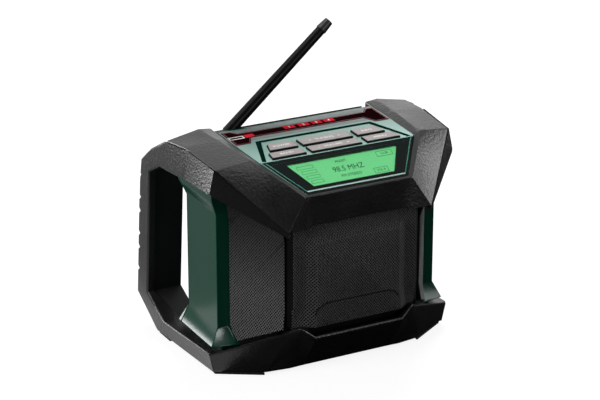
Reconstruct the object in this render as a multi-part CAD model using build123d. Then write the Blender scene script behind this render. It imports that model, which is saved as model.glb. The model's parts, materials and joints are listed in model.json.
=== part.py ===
from build123d import *
import math
import os

# Jobsite radio. Millimetres, +Z up, front towards -Y, origin under the middle of the body on the floor.

# ---- Overall size
width = 248.0  # over the two side guards
depth = 202.0  # front lip to the back of the grip bars
height = 202.0  # floor to the rear inner corners of the top frame
wall = 3.0  # moulded shells
fit = 0.3  # gap between mouldings that meet
seam = 1.4  # open joint between the top frame and a side guard
foot_height = 3.0
foot_inset = 2.0  # front feet behind the edge of the lower frame

half = width / 2
front = -depth / 2
back = depth / 2

# ---- Top frame and control panel
slope_run = 40.3  # front edge of the top to the bend, seen from above
slope_drop = 22.5  # bend down to the front edge of the display panel
deck_length = 92.2  # bend to the rear end of the top frame
panel_tilt = 0.05  # rise of the key panel towards the back, per mm
panel_recess = 6.0  # bend of the panel below the height of the frame
panel_length = 78.7  # bend to the rear rim of the key panel
panel_thick = 2.5
brow_height = 27.0  # front band between display and grille
brow_lip = 4.5  # front edge of the brow to the display panel
brow_thick = 5.0
frame_lip = 4.0  # thickness of the frame's edge over the guard's shoulder
slab_rear = 32.6  # guard face to the inner edge of the top frame, at the back
slab_bend = 39.3  # the same at the bend
slab_front = 71.4  # the same at the front corner
beak_inset = 53.0  # guard face to the front corner of the brow
bend_inset = 7.0  # guard face to the seam at the bend
ledge_rear = 12.4  # sloped inner wall of the frame, at the back
ledge_bend = 7.3
ledge_front = 4.0

panel_half = half - slab_rear - ledge_rear - 0.4

bend_y = front + slope_run
bend_z = height - panel_recess
rear_y = bend_y + deck_length
crease_y = rear_y - 34.5
rim_y = bend_y + panel_length

# ---- Core housing
housing_side = half - 13.0  # side wall beside the grille
housing_narrow = 4.0  # side wall steps in by this much at the floor
flare_low = 8.0  # and out by this much below the grille
flare_high = 5.5
housing_front_y = front + 59.0
flare_front = 9.8  # lower flare in front of the front wall
housing_split_y = bend_y + 79.2  # where the front and rear housings meet
housing_back_y = housing_split_y + 23.5
flare_back = 6.0
chamfer_run = 19.0  # rear corners of the housing, across
housing_top_z = height - 30.0
housing_floor_z = foot_height + 3.0
step_z = housing_floor_z + 18.0
flare_step = 2.0
lower_wall_z = 42.0
upper_wall_z = height - 54.0
upper_flare_z = height - 39.0
gasket_thick = 0.6
flange_reach = 30.0  # inner flange of the front housing, from its side wall
boss_r = 4.2
screw_r = 1.5
screw_head_r = 3.4
screw_head = 2.2

# ---- Grilles
grille_side_x = half - 24.8  # side edge of a side grille
grille_side_y = housing_front_y - 1.8
grille_thick = 2.0
facet_half = 69.5  # half width where the side grilles meet the front one
facet_y = front + 12.5
facet_draw = 1.45  # inner edge of a side grille, drawn in behind the front one's ridge
grille_top_z = housing_top_z - 26.0
field_half = 41.0  # raised middle of the front grille

# ---- Lip and lower frame
lip_z = 42.5
lip_corner_z = 45.3
lip_side_z = 21.4
lip_thick = 3.0
lip_half = 44.2
notch_half = 56.0
floor_thick = 4.0

# ---- Side guards and grip bars
rim_thick = 7.0
shoulder = 4.6
bar_width = 29.0
bar_inset = 1.5
bar_top_y = back - 12.0
bar_depth = 20.0
hand_top_z = height - 35.0

# ---- Keys and display
key_rows = (2.0, 18.5)  # front edge of each row behind the bend
key_depths = (12.5, 14.0)
rocker_half = 0.318 * panel_half
side_key_inner = (0.388 * panel_half, 0.379 * panel_half)
side_key_outer = (  # front and rear edge, per row
    (0.810 * panel_half, 0.784 * panel_half),
    (0.733 * panel_half, 0.684 * panel_half),
)
key_proud = 1.6
key_clear = 0.4
key_flange = 0.8
rocker_pin_r = 0.8
rocker_pin_reach = 1.4
board_drop = 7.4  # panel surface to the top of the key board
board_thick = 1.6
mat_thick = 1.2
post_r = 2.2
post_x = panel_half - 10.6
lens_thick = 1.2
lcd_half_top = 0.701 * panel_half
lcd_half_low = 0.509 * panel_half
lcd_top_s = 6.5
lcd_low_s = 33.5
lens_half_top = 0.852 * panel_half
lens_half_low = 0.630 * panel_half
lens_top_s = 4.0
lens_low_s = 36.5
lcd_thick = 3.4
decal_thick = 0.35

# ---- Antenna
antenna_length = 145.0
antenna_root_r = 5.5
antenna_end_r = 4.5
antenna_tip_length = 11.0
antenna_rise = 40.8  # degrees above level as it is left standing
pivot_x = 8.3 - panel_half
pivot_y = rim_y + 11.0
pivot_z = height - 12.9
knuckle_r = 6.0
knuckle_half = 2.5
ear_thick = 3.8
pin_r = 1.6
pin_clear = 0.06
groove_half = 7.0
groove_clear = 2.0  # under the folded antenna
groove_floor_z = pivot_z - knuckle_r - groove_clear

# ---- Speakers
speaker_r = 29.0
speaker_x = 31.0
speaker_z = height - 105.0
basket_r = 24.6
basket_end_r = 14.0
basket_depth = 16.0
basket_wall = 1.5
magnet_depth = 10.0
cone_r = 22.6
cone_end_r = 10.5
cone_depth = 14.0
cone_wall = 1.0
baffle_y = front + 17.0
baffle_thick = 4.0
box_half = 63.0
box_low_z = 48.0
box_high_z = height - 57.0
box_back_y = baffle_y + 64.0
box_flange = 5.0

# ---- Boards
main_board_half = 55.0
spacer_length = 10.0
spacer_r = 3.0
sink_half = 20.0
sink_height = 45.0
sink_depth = 16.0
sink_fins = 6

# ---- Battery
pack_half = 37.0
pack_height = 104.0
pack_back_y = housing_back_y + 52.0
pack_low_z = 26.0
pack_wall = 3.0
bay_half = 40.0
bay_thick = 8.0
bay_low_z = lower_wall_z + 1.5
bay_high_z = height - 78.0
neck_half = 20.0
neck_depth = 5.0
rail_half = 27.0
rail_depth = 4.0
rail_low_z = bay_low_z + 9.0
rail_high_z = bay_high_z - 14.0
slide_clear = 0.6
cell_r = 9.1
cell_length = 65.0
cell_pitch = 19.0
cell_count = 5
release_half = 12.0
release_height = 12.0
release_proud = 2.5
release_travel = 2.0

# ---- Ports on the back
cover_x = 63.0
cover_half = 13.0
cover_low_z = 62.0
cover_height = 38.0
cover_thick = 2.5
cover_lug = 4.0
port_edge = 4.0  # port opening inside the cover's edge, above and below
port_side = 3.0  # the same at the sides
cover_knuckle_r = 2.6
cover_pin_r = 1.0
port_depth = 12.0
inlet_x = -62.0
inlet_z = 60.0
inlet_r = 6.0
inlet_bore_r = 3.2
inlet_depth = 14.0
inlet_bore = 9.0
inlet_flange = 2.0
inlet_proud = 1.2


def at(x, y, z):
    return Vector(x, y, z)


def skin(sections):
    """Solid with straight-ruled sides through closed, flat outlines that have equally many corners."""
    return Solid.make_loft([Wire.make_polygon(outline, close=True) for outline in sections], ruled=True)


def mirrored(shape):
    return mirror(shape, about=Plane.YZ)


def slab(outline, plane, low, high):
    """Prism over an outline drawn on a plane, from one height above it to another."""
    face = make_face(Polyline(*outline, close=True))
    return extrude(plane.offset(low) * face, high - low, dir=plane.z_dir)


def block(x0, x1, y0, y1, z0, z1):
    return Pos((x0 + x1) / 2, (y0 + y1) / 2, (z0 + z1) / 2) * Box(x1 - x0, y1 - y0, z1 - z0)


def rod(start, end, radius):
    return Solid.make_cylinder(radius, (end - start).length, Plane(origin=start, z_dir=end - start))


def taper(start, end, start_r, end_r):
    return Solid.make_cone(start_r, end_r, (end - start).length, Plane(origin=start, z_dir=end - start))


def rect(x0, x1, y0, y1):
    return [(x0, y0), (x1, y0), (x1, y1), (x0, y1)]


def grow(outline, amount):
    """Convex outline with every side moved outwards."""
    face = make_face(Polyline(*outline, close=True))
    return face if amount == 0 else offset(face, amount, kind=Kind.INTERSECTION)


def symmetric(right_side):
    """Closed outline from its right-hand half, which runs from front to back."""
    return list(right_side) + [(-x, y) for x, y in reversed(right_side)]


def save(shape, name):
    solids = shape.solids()
    export_step(solids[0] if len(solids) == 1 else Compound(children=list(solids)), f"parts/{name}.step")


os.makedirs("parts", exist_ok=True)

key_plane = Plane(origin=(0, bend_y, bend_z), x_dir=(1, 0, 0), z_dir=(0, -panel_tilt, 1))
lens_plane = Plane(origin=(0, bend_y, bend_z), x_dir=(1, 0, 0), z_dir=(0, -slope_drop, slope_run - brow_lip))
display_front_y = front + brow_lip
display_slope = math.hypot(slope_drop, slope_run - brow_lip)


# ---- Top frame: two wings beside the control panel, joined by the brow in front

def wing_station(inner, outer, ledge_run, ledge_z):
    """Ledge at the panel, crest and seam edge of a wing, in one upright plane."""
    across = at(outer.X - inner.X, outer.Y - inner.Y, 0).normalized()
    foot = inner - across * ledge_run
    return at(foot.X, foot.Y, ledge_z), inner, outer, across


def wing_outline(station, low_z, step):
    """Closed cross section of a wing, with a lip over the guard's shoulder."""
    ledge, inner, outer, across = station
    under = at(outer.X, outer.Y, outer.Z - min(frame_lip, (outer.Z - low_z) / 3))
    shelf = under - across * step
    return [ledge, inner, outer, under, shelf, at(shelf.X, shelf.Y, low_z), at(ledge.X, ledge.Y, low_z)]


brow_z = bend_z - slope_drop
frame_front_y = front + 2.7
beak_z = brow_z - brow_height
wing_rear = wing_station(
    at(half - slab_rear, rear_y, height),
    at(half - seam, rear_y, height - 6.0),
    ledge_rear,
    bend_z + panel_tilt * deck_length,
)
wing_crease = wing_station(
    at(half - slab_rear - 2.6, crease_y, height - 0.8),
    at(half - 3.9 - seam / 2, crease_y, height - 3.5),
    ledge_rear - 2.6,
    bend_z + panel_tilt * (crease_y - bend_y),
)
wing_bend = wing_station(
    at(half - slab_bend, bend_y + 3.2, height - 3.3),
    at(half - bend_inset - seam / 2, bend_y + 7.2, height - 7.9),
    ledge_bend,
    bend_z,
)
wing_front = wing_station(
    at(half - slab_front, frame_front_y, brow_z + 0.1),
    at(half - beak_inset, front, beak_z - 2.0),
    ledge_front,
    brow_z - 0.7,
)
wing_steps = (6.3, 3.0, 1.0, 5.0)  # how far each section stands back under its lip, rear to front


def make_wing():
    stations = (wing_rear, wing_crease, wing_bend, wing_front)
    feet = (housing_top_z, housing_top_z, housing_top_z, beak_z - 2.8)
    body = skin([wing_outline(*section) for section in zip(stations, feet, wing_steps)])
    hollow = []
    for (ledge, inner, outer, _), y_shift in ((wing_rear, -wall), (wing_crease, 0), (wing_bend, 2 * wall)):
        shift = at(0, y_shift, 0)
        low_z = housing_top_z - wall
        far_x = housing_side - wall
        hollow.append([
            at(ledge.X + wall, ledge.Y, ledge.Z - wall) + shift,
            at(inner.X, ledge.Y, inner.Z - wall) + shift,
            at(far_x, ledge.Y, outer.Z - frame_lip - wall) + shift,
            at(far_x, ledge.Y, low_z) + shift,
            at(ledge.X + wall, ledge.Y, low_z) + shift,
        ])
    return body - skin(hollow)


def brow_outline(x, low_y, low_z):
    """Section of the brow, with a rebate behind its top edge for the panel."""
    inside = front + brow_thick + 3.7
    rebate_z = brow_z - panel_thick - fit
    return [
        at(x, frame_front_y, brow_z + 0.1),
        at(x, low_y, low_z),
        at(x, inside, low_z),
        at(x, inside, rebate_z),
        at(x, display_front_y - fit, rebate_z),
        at(x, display_front_y - fit, brow_z + 0.9),
    ]


def make_top_frame():
    wing = make_wing()
    corner_x = half - slab_front
    brow = skin([
        brow_outline(-corner_x, front + 2.2, beak_z - 2.8),
        brow_outline(-corner_x + 8, front + 4.6, beak_z - 1.2),
        brow_outline(corner_x - 8, front + 4.6, beak_z - 1.2),
        brow_outline(corner_x, front + 2.2, beak_z - 2.8),
    ])
    return wing + mirrored(wing) + brow


# ---- Lower frame: lip and floor strip round the front, between the two guards

lower_front_y = front + 52.5
lip_corner = at(half - 59.0, front + 12.7, lip_corner_z)
foot_corner = at(half - 45.6, front + 29.3, foot_height)
foot_side_x = half - 5.6
lip_side_x = half - 1.5
low_side_x = housing_side - housing_narrow
centre_floor_z = foot_height + 1.2


def front_lip_outline(x, lip_y, top_z):
    floor_y = front + 25.0
    return [
        at(x, lip_y, top_z),
        at(x, lip_y - 0.1, top_z - lip_thick),
        at(x, floor_y, centre_floor_z),
        at(x, housing_front_y - fit, centre_floor_z),
        at(x, housing_front_y - fit, centre_floor_z + floor_thick),
        at(x, floor_y + floor_thick + 2, centre_floor_z + floor_thick),
        at(x, lip_y + 7, top_z - 1.6),
    ]


def corner_lip_outline():
    """Section at the front corner, in the upright plane from the lip to the foot."""
    way = (at(foot_corner.X, foot_corner.Y, 0) - at(lip_corner.X, lip_corner.Y, 0)).normalized()
    reach = (at(foot_corner.X, foot_corner.Y, 0) - at(lip_corner.X, lip_corner.Y, 0)).length

    def point(run, z):
        return at(lip_corner.X + way.X * run, lip_corner.Y + way.Y * run, z)

    return [
        point(0, lip_corner_z),
        point(0.1, lip_corner_z - lip_thick),
        point(reach, foot_height),
        point(reach + 24, foot_height),
        point(reach + 24, foot_height + floor_thick),
        point(reach + floor_thick + 1, foot_height + floor_thick),
        point(7, lip_corner_z - 1.6),
    ]


def side_lip_outline():
    y = lower_front_y
    return [
        at(lip_side_x, y, lip_side_z),
        at(lip_side_x - 0.2, y, lip_side_z - lip_thick),
        at(foot_side_x, y, foot_height),
        at(low_side_x + fit, y, foot_height),
        at(low_side_x + fit, y, foot_height + floor_thick),
        at(foot_side_x - 6.4, y, foot_height + floor_thick),
        at(foot_side_x - 3.4, y, lip_side_z - 1.6),
    ]


def reflect(outline):
    return [at(-p.X, p.Y, p.Z) for p in outline]


def make_lower_frame():
    right = [
        front_lip_outline(lip_half, front, lip_z),
        front_lip_outline(notch_half, front + 3.3, lip_z + 9.5),
        corner_lip_outline(),
        side_lip_outline(),
    ]
    side = skin(right)
    return side + mirrored(side) + skin([right[0], reflect(right[0])])


# ---- Side guards: a rim round each hand opening, running forward over the brow's corner

rim_in_x = half - rim_thick
rim_low_in_x = low_side_x + fit
guard_tip = at(half - beak_inset, front, beak_z - 3.0)


def rim_outline_at(y, top_x, top_z, low_x, low_z, in_x):
    """Upright section across the rim, with a shoulder for the top frame's lip."""
    return [
        at(top_x, y, top_z),
        at(low_x, y, low_z),
        at(in_x, y, low_z),
        at(in_x, y, top_z - shoulder),
        at(top_x, y, top_z - shoulder),
    ]


def rim_outline(outer, hole, top_x, low_x, in_x):
    """Section from a point (y, z) on the outer edge to one on the hand opening's edge."""
    return [
        at(top_x, *outer),
        at(low_x, *hole),
        at(in_x, *hole),
        at(in_x, *outer),
        at((top_x + in_x) / 2, *outer),
    ]


def beak_outline():
    across = at(-(grille_side_y - facet_y), grille_side_x - facet_half, 0).normalized()
    deep = guard_tip + across * frame_lip
    part_way = guard_tip + across * frame_lip / 3
    drop = at(0, 0, -1)
    return [guard_tip, guard_tip + drop * frame_lip, deep + drop * frame_lip, deep + drop, part_way + drop]


bar_back = (
    (bar_top_y - 23, height - 25),
    (bar_top_y - 5, height - 39),
    (bar_top_y, height - 62),
    (back - 0.5, 26.0),
    (back - 41, foot_height),
)
bar_front = (
    (bar_top_y - bar_depth - 23, hand_top_z),
    (bar_top_y - bar_depth - 1, hand_top_z - 12),
    (bar_top_y - bar_depth + 0.5, height - 62),
    (back - bar_depth - 1.7, 33.0),
    (back - 56.5, 17.3),
)


def make_guard():
    rounds = [
        rim_outline(outer, hole, half, half, rim_in_x) for outer, hole in zip(bar_back[:-1], bar_front[:-1])
    ]
    front_end = lower_front_y + fit
    return skin([
        beak_outline(),
        rim_outline_at(
            bend_y + 7.5, half - bend_inset + seam / 2, height - 8.2, half - 1.6, housing_top_z + 0.4,
            rim_in_x - fit,
        ),
        rim_outline_at(
            crease_y, half - 3.9 + seam / 2, height - 3.8, half - 0.8, housing_top_z - 2, rim_in_x
        ),
        rim_outline_at(rear_y, half - seam / 2, height - 6.3, half, hand_top_z + 0.5, rim_in_x),
        *rounds,
        rim_outline(bar_back[-1], bar_front[-1], half, half, rim_low_in_x),
        rim_outline((front_end, foot_height), (front_end, lip_side_z), foot_side_x, lip_side_x, rim_low_in_x),
    ])


# ---- Grip bars: the padded inner half of each hand grip, down the back

bar_in_x = rim_in_x - bar_width


def bar_outline(outer, hole, out_x):
    return [at(out_x, *outer), at(out_x, *hole), at(bar_in_x, *hole), at(bar_in_x, *outer)]


def inset_station(outer, hole):
    """Same station as the rim's, drawn in a little at both ends."""
    run = math.dist(outer, hole)
    step = [(h - o) * bar_inset / run for o, h in zip(outer, hole)]
    return (outer[0] + step[0], outer[1] + step[1]), (hole[0] - step[0], hole[1] - step[1])


def make_grip_bar():
    seat_z = housing_top_z + fit
    out_x = rim_in_x - fit
    over_y = housing_back_y + 2.5
    sections = [
        bar_outline((rear_y + 0.5, height - 7.5), (rear_y + 0.5, seat_z), out_x),
        bar_outline((over_y, height - 14.0), (over_y, seat_z), out_x),
    ]
    for outer, hole in zip(bar_back[:-1], bar_front[:-1]):
        sections.append(bar_outline(*inset_station(outer, hole), out_x))
    low_x = rim_low_in_x - fit
    end_y = housing_back_y + 0.4
    low_z = foot_height + 1.0
    sections.append(bar_outline(*inset_station(bar_back[-1], bar_front[-1]), low_x))
    sections.append(bar_outline((end_y, low_z), (end_y, bar_front[-1][1] - bar_inset), low_x))
    return skin(sections)


# ---- Feet

def make_front_feet():
    outline = [
        (foot_side_x - foot_inset, lower_front_y + foot_inset),
        (foot_corner.X, foot_corner.Y + foot_inset),
        (foot_corner.X + 2, lower_front_y - 7),
        (foot_side_x - foot_inset - 1.4, lower_front_y + 15),
    ]
    pad = slab(outline, Plane.XY, 0, foot_height)
    return pad + mirrored(pad)


def make_rear_feet():
    pad = block(rim_low_in_x + 2, half - 2, back - 66, back - 43, 0, foot_height)
    return pad + mirrored(pad)


# ---- Core housing: one shell, parted by a gasket into a front and a rear half

def housing_outline(z, right_side):
    return [at(x, y, z) for x, y in symmetric(right_side)]


def housing_levels(inset):
    """Right-hand corners of the housing, from front to back, with the heights they hold at."""
    rear_x = housing_side - chamfer_run
    low = [
        (rear_x, housing_front_y), (low_side_x, housing_front_y),
        (low_side_x, housing_back_y - 18), (rear_x, housing_back_y),
    ]
    ledge = [
        (grille_side_x - 2.8, housing_front_y - flare_front), (housing_side + flare_low, housing_front_y - 4),
        (housing_side + flare_low - 1, housing_back_y - 18), (rear_x + 5, housing_back_y + flare_back),
    ]
    middle = [
        (grille_side_x + 1.2, housing_front_y), (housing_side, housing_front_y),
        (housing_side - 1, housing_split_y), (rear_x, housing_back_y),
    ]
    high = [
        (grille_side_x + 1.2, housing_front_y), (housing_side + flare_high, housing_front_y - 3),
        (housing_side + flare_high, housing_back_y - 20), (rear_x + 3, housing_back_y + 2),
    ]
    ledge_z = step_z + flare_step
    heights = (
        (housing_floor_z + inset, low), (step_z + inset, low), (ledge_z + inset, ledge),
        (lower_wall_z + inset / 2, middle), (upper_wall_z - inset / 2, middle),
        (upper_flare_z - inset / 2, high), (housing_top_z + inset / 2, high),
    )
    return [(z, [draw_in(corner, inset) for corner in corners]) for z, corners in heights]


def draw_in(corner, inset):
    x, y = corner
    return x - inset, y + (inset if y < 0 else -inset)


def make_housing_body(inset):
    return skin([housing_outline(z, corners) for z, corners in housing_levels(inset)])


screw_x = housing_side - chamfer_run - 8.0
low_screw_x = screw_x - 24.0
screw_places = [(side * screw_x, z) for side in (-1, 1) for z in (lower_wall_z + 8.0, upper_wall_z - 8.0)]
screw_places += [(side * low_screw_x, housing_floor_z + 9.0) for side in (-1, 1)]
gasket_y = housing_split_y - gasket_thick / 2
big = width * 2


def behind(y):
    return block(-big, big, y, big, -big, big)


def before(y):
    return block(-big, big, -big, y, -big, big)


def along_y(x, z, y0, y1, radius):
    return rod(at(x, y0, z), at(x, y1, z), radius)


def make_front_housing(shell, core):
    flange_y = gasket_y - wall
    opening = housing_side - flange_reach
    flange = core & block(-big, big, flange_y, gasket_y, -big, big)
    flange -= block(-opening, opening, flange_y - 1, gasket_y + 1, step_z, big)
    flange -= block(-big, big, flange_y - 1, gasket_y + 1, housing_top_z - wall, big)
    body = (shell & before(gasket_y)) + flange
    gap = 1.0
    reach = box_half + gap
    body -= block(-reach, reach, -big, housing_front_y + 2 * wall, box_low_z - gap, box_high_z + gap)
    for x, z in screw_places:
        body -= along_y(x, z, flange_y - 1, gasket_y + 1, screw_r + fit)
    for y, z in guard_screw_places:
        for side in (-1, 1):
            body -= guard_screw_hole(side, y, z)
    return body


def make_rear_housing(shell):
    body = shell & behind(gasket_y + gasket_thick)
    for x, z in screw_places:
        body += along_y(x, z, gasket_y + gasket_thick + fit, housing_back_y - wall / 2, boss_r)
    for x, z in screw_places:
        body -= along_y(x, z, gasket_y, housing_back_y + 1, screw_r + fit)
    body -= port_hole()
    body -= along_y(inlet_x, inlet_z, housing_back_y - 2 * wall, housing_back_y + 1, inlet_r + fit)
    for low, high in cover_lug_spans():
        body += block(low, high, housing_back_y - 1, cover_hinge_y, cover_hinge_z - cover_lug_r,
                      cover_hinge_z + cover_lug_r)
        body += rod(on_hinge(low), on_hinge(high), cover_lug_r)
    pin_hole = rod(on_hinge(cover_x - cover_half - 1), on_hinge(cover_x + cover_half + 1), cover_pin_r)
    for y, z in guard_screw_places:
        for side in (-1, 1):
            body -= guard_screw_hole(side, y, z)
    return body - pin_hole


def make_case_screws():
    solids = []
    for x, z in screw_places:
        solids.append(
            along_y(x, z, housing_back_y, housing_back_y + screw_head, screw_head_r)
            + along_y(x, z, gasket_y - wall - 2, housing_back_y, screw_r)
        )
    return Compound(children=solids)


# ---- Screws from inside the housing into the lower rails of the guards

guard_screw_z = housing_floor_z + 6.5
guard_screw_places = ((housing_front_y + 18.0, guard_screw_z), (housing_split_y - 12.5, guard_screw_z))
guard_screw_length = 12.0


def guard_screw_hole(side, y, z):
    return rod(at(side * (low_side_x - 2 * wall), y, z), at(side * (low_side_x + 1), y, z), screw_r + fit)


def make_guard_screws():
    head_x = low_side_x - wall
    solids = []
    for y, z in guard_screw_places:
        for side in (-1, 1):
            head = rod(at(side * (head_x - screw_head), y, z), at(side * head_x, y, z), screw_head_r)
            shank = rod(at(side * head_x, y, z), at(side * (head_x + guard_screw_length), y, z), screw_r)
            solids.append(head + shank)
    return Compound(children=solids)


def drilled_guard():
    body = make_guard()
    for y, z in guard_screw_places:
        body -= rod(at(low_side_x, y, z), at(low_side_x + guard_screw_length, y, z), screw_r + fit)
    return body


# ---- Rear deck with the groove that the antenna folds into

def make_rear_deck():
    deck_half = half - slab_rear - ledge_rear - fit
    front_y = rim_y + 0.4
    back_y = housing_back_y + 2
    top_z = key_plane_z(rim_y) - 0.5
    profile = [
        (front_y, housing_top_z), (front_y, top_z), (pivot_y - groove_half, top_z),
        (pivot_y - groove_half, groove_floor_z), (pivot_y + groove_half, groove_floor_z),
        (pivot_y + groove_half, top_z - 4), (back_y, top_z - 9), (back_y, housing_top_z),
    ]
    body = slab(profile, Plane.YZ, -deck_half, deck_half)
    body -= block(-deck_half + wall, deck_half - wall, front_y + 2, back_y - wall, housing_top_z - 1,
                  groove_floor_z - wall)
    flange = block(deck_half - wall, bar_in_x - fit, rear_y + 0.5, back_y, housing_top_z, housing_top_z + 4)
    return body + flange + mirrored(flange)


def key_plane_z(y):
    return bend_z + (y - bend_y) * panel_tilt


# ---- Grilles

def make_center_grille():
    """Front plate with a raised field, a channel along each side and a foot that drops behind the lip."""
    face_y = facet_y - 3.0
    channel = (facet_half - 3.5, facet_y + 1.5)
    ridge = (facet_half - 8.0, facet_y - 2.8)
    base = (field_half + 9.0, face_y)
    levels = (
        (grille_top_z, channel, ridge, base, (field_half + 5.0, face_y - 0.1)),
        (grille_top_z - 13.0, channel, ridge, base, (field_half + 5.0, face_y - 0.1)),
        (grille_top_z - 18.5, channel, ridge, base, (field_half, face_y - 5.8)),
        (grille_top_z - 77.0, channel, ridge, base, (field_half, face_y - 6.7)),
        (lip_z + 8.0, channel, (ridge[0], facet_y), (base[0] + 2, face_y), (field_half + 3, face_y - 7.1)),
        (lip_z + 5.0, (channel[0], facet_y + 4.5), (ridge[0], facet_y + 2.0), (base[0] + 2, facet_y + 0.5),
         (field_half + 3, facet_y + 0.5)),
        (lip_z - 12.5, (channel[0], facet_y + 13.5), (ridge[0], facet_y + 11.5), (base[0] + 2, facet_y + 8.5),
         (field_half + 3, facet_y + 5.5)),
    )
    sections = []
    for z, *corners in levels:
        right = corners[::-1]
        outer = [(-x, y) for x, y in reversed(right)] + right
        inner = [(x, y + grille_thick) for x, y in reversed(outer)]
        sections.append([at(x, y, z) for x, y in outer + inner])
    return skin(sections[::-1])


def make_side_grille():
    """Plate between the front one and the housing's edge, folded outwards above and below."""
    normal = at(grille_side_y - facet_y, -(grille_side_x - facet_half), 0).normalized()
    deep = normal * -grille_thick
    inner = at(facet_half - facet_draw, facet_y + 0.9, 0)
    outer = at(grille_side_x, grille_side_y, 0)
    low_outer = at(grille_side_x - 2.8, housing_front_y - flare_front, step_z + 6.2)
    foot_outer = low_outer + at(-1.4, -2.2, 0)
    behind_lip = inner + at(1.2, 7.2, 0)
    edges = (
        (behind_lip + at(2.3, 3.2, lip_z - 6.5), foot_outer + at(0, 0, -8.2)),
        (behind_lip + at(0, 0, lip_z + 4.5), foot_outer + at(0, 0, -1.2)),
        (inner + normal * 2.5 + at(0, 0, lip_z + 7.5), low_outer),
        (inner + at(0, 0, lip_z + 23.5), outer + at(0, 0, lower_wall_z)),
        (inner + at(0, 0, grille_top_z - 16), outer + at(0, 0, upper_wall_z - 5)),
        (inner + normal * 4 + at(0, 0, grille_top_z - 2.4), outer + normal * 7 + at(0, 0, housing_top_z - 1)),
    )
    return skin([[low, high, high + deep, low + deep] for low, high in edges])


# ---- Speaker box and its two speakers

def make_speaker_box():
    body = block(-box_half, box_half, baffle_y, box_back_y, box_low_z, box_high_z)
    flange_y = housing_front_y - fit
    body += block(-box_half - box_flange, box_half + box_flange, flange_y - wall, flange_y,
                  box_low_z - box_flange, box_high_z + box_flange)
    body -= block(-box_half + wall, box_half - wall, baffle_y + baffle_thick, box_back_y - wall,
                  box_low_z + wall, box_high_z - wall)
    for side in (-1, 1):
        body -= rod(on_axis(side, -1), on_axis(side, baffle_thick + 1), basket_r + fit)
        for x, z in speaker_screw_places(side):
            body -= along_y(x, z, baffle_y - 1, baffle_y + baffle_thick - 1, speaker_screw_r + fit)
    return body


frame_thick = 2.0
speaker_screw_r = 1.0
speaker_head_r = 1.6
speaker_head = 1.0


def speaker_screw_places(side):
    reach = (speaker_r - 2.0) / math.sqrt(2)
    return [(side * speaker_x + a * reach, speaker_z + b * reach) for a in (-1, 1) for b in (-1, 1)]


def on_axis(side, y):
    return at(side * speaker_x, baffle_y + y, speaker_z)


def make_speaker_frame(side):
    body = rod(on_axis(side, -frame_thick), on_axis(side, 0), speaker_r)
    body += taper(on_axis(side, 0), on_axis(side, basket_depth), basket_r, basket_end_r)
    body += rod(on_axis(side, basket_depth), on_axis(side, basket_depth + 2), basket_end_r)
    inside_r = basket_r - basket_wall
    body -= taper(on_axis(side, 0), on_axis(side, basket_depth), inside_r, basket_end_r - basket_wall)
    body -= rod(on_axis(side, -frame_thick - 1), on_axis(side, 0), inside_r)
    for x, z in speaker_screw_places(side):
        body -= along_y(x, z, baffle_y - frame_thick - 1, baffle_y + 1, speaker_screw_r + fit)
    return body


def make_cone(side):
    """Paper cone with its dust cap and the surround that holds it to the frame."""
    face_y = -frame_thick
    lip_y = face_y - cone_wall
    end_y = lip_y + cone_depth
    ring = rod(on_axis(side, lip_y), on_axis(side, face_y), speaker_r - 4.0)
    ring -= rod(on_axis(side, lip_y - 1), on_axis(side, face_y + 1), cone_r - cone_wall)
    shell = taper(on_axis(side, lip_y), on_axis(side, end_y), cone_r, cone_end_r)
    shell -= taper(on_axis(side, lip_y), on_axis(side, end_y), cone_r - cone_wall, cone_end_r - cone_wall)
    cap = rod(on_axis(side, end_y - cone_wall), on_axis(side, end_y), cone_end_r)
    return ring + shell + cap


def make_magnet(side):
    start = basket_depth + 2
    return rod(on_axis(side, start), on_axis(side, start + magnet_depth), basket_end_r + 3)


def make_speaker_screws():
    solids = []
    for side in (-1, 1):
        for x, z in speaker_screw_places(side):
            head_y = baffle_y - frame_thick
            solids.append(
                along_y(x, z, head_y - speaker_head, head_y, speaker_head_r)
                + along_y(x, z, head_y, baffle_y + baffle_thick - 1.5, speaker_screw_r)
            )
    return Compound(children=solids)


# ---- Boards behind the speaker box

def make_main_board():
    y = box_back_y + spacer_length
    return block(-main_board_half, main_board_half, y, y + board_thick, box_low_z + 6, box_high_z - 6)


def make_spacers():
    solids = []
    for x in (-main_board_half + 5, main_board_half - 5):
        for z in (box_low_z + 11, box_high_z - 11):
            solids.append(along_y(x, z, box_back_y, box_back_y + spacer_length, spacer_r))
    return Compound(children=solids)


def make_heat_sink():
    y = box_back_y + spacer_length + board_thick
    low_z = speaker_z - sink_height / 2
    body = block(-sink_half, sink_half, y, y + sink_depth, low_z, low_z + sink_height)
    pitch = 2 * sink_half / (2 * sink_fins - 1)
    for index in range(sink_fins - 1):
        x = -sink_half + pitch * (2 * index + 1)
        body -= block(x, x + pitch, y + wall, y + sink_depth + 1, 0, height)
    return body


# ---- Control panel: key deck behind the bend, display slope in front of it

def panel_edge(y):
    """Half width of the panel, just clear of the top frame's inner walls."""
    stations = [(s[0].Y, s[0].X) for s in (wing_front, wing_bend, wing_crease, wing_rear)]
    for (y0, x0), (y1, x1) in zip(stations, stations[1:]):
        if y0 <= y <= y1:
            return x0 + (x1 - x0) * (y - y0) / (y1 - y0) - key_clear
    return stations[-1][1] - key_clear


def row_s(row):
    return key_rows[row], key_rows[row] + key_depths[row]


def rocker_shape(row):
    s0, s1 = row_s(row)
    return rect(-rocker_half, rocker_half, s0, s1)


def side_key_shape(row):
    s0, s1 = row_s(row)
    outer_front, outer_rear = side_key_outer[row]
    return [(side_key_inner[row], s0), (outer_front, s0), (outer_rear, s1), (side_key_inner[row], s1)]


def down_slope(points):
    return [(x, -s) for x, s in points]


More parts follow.
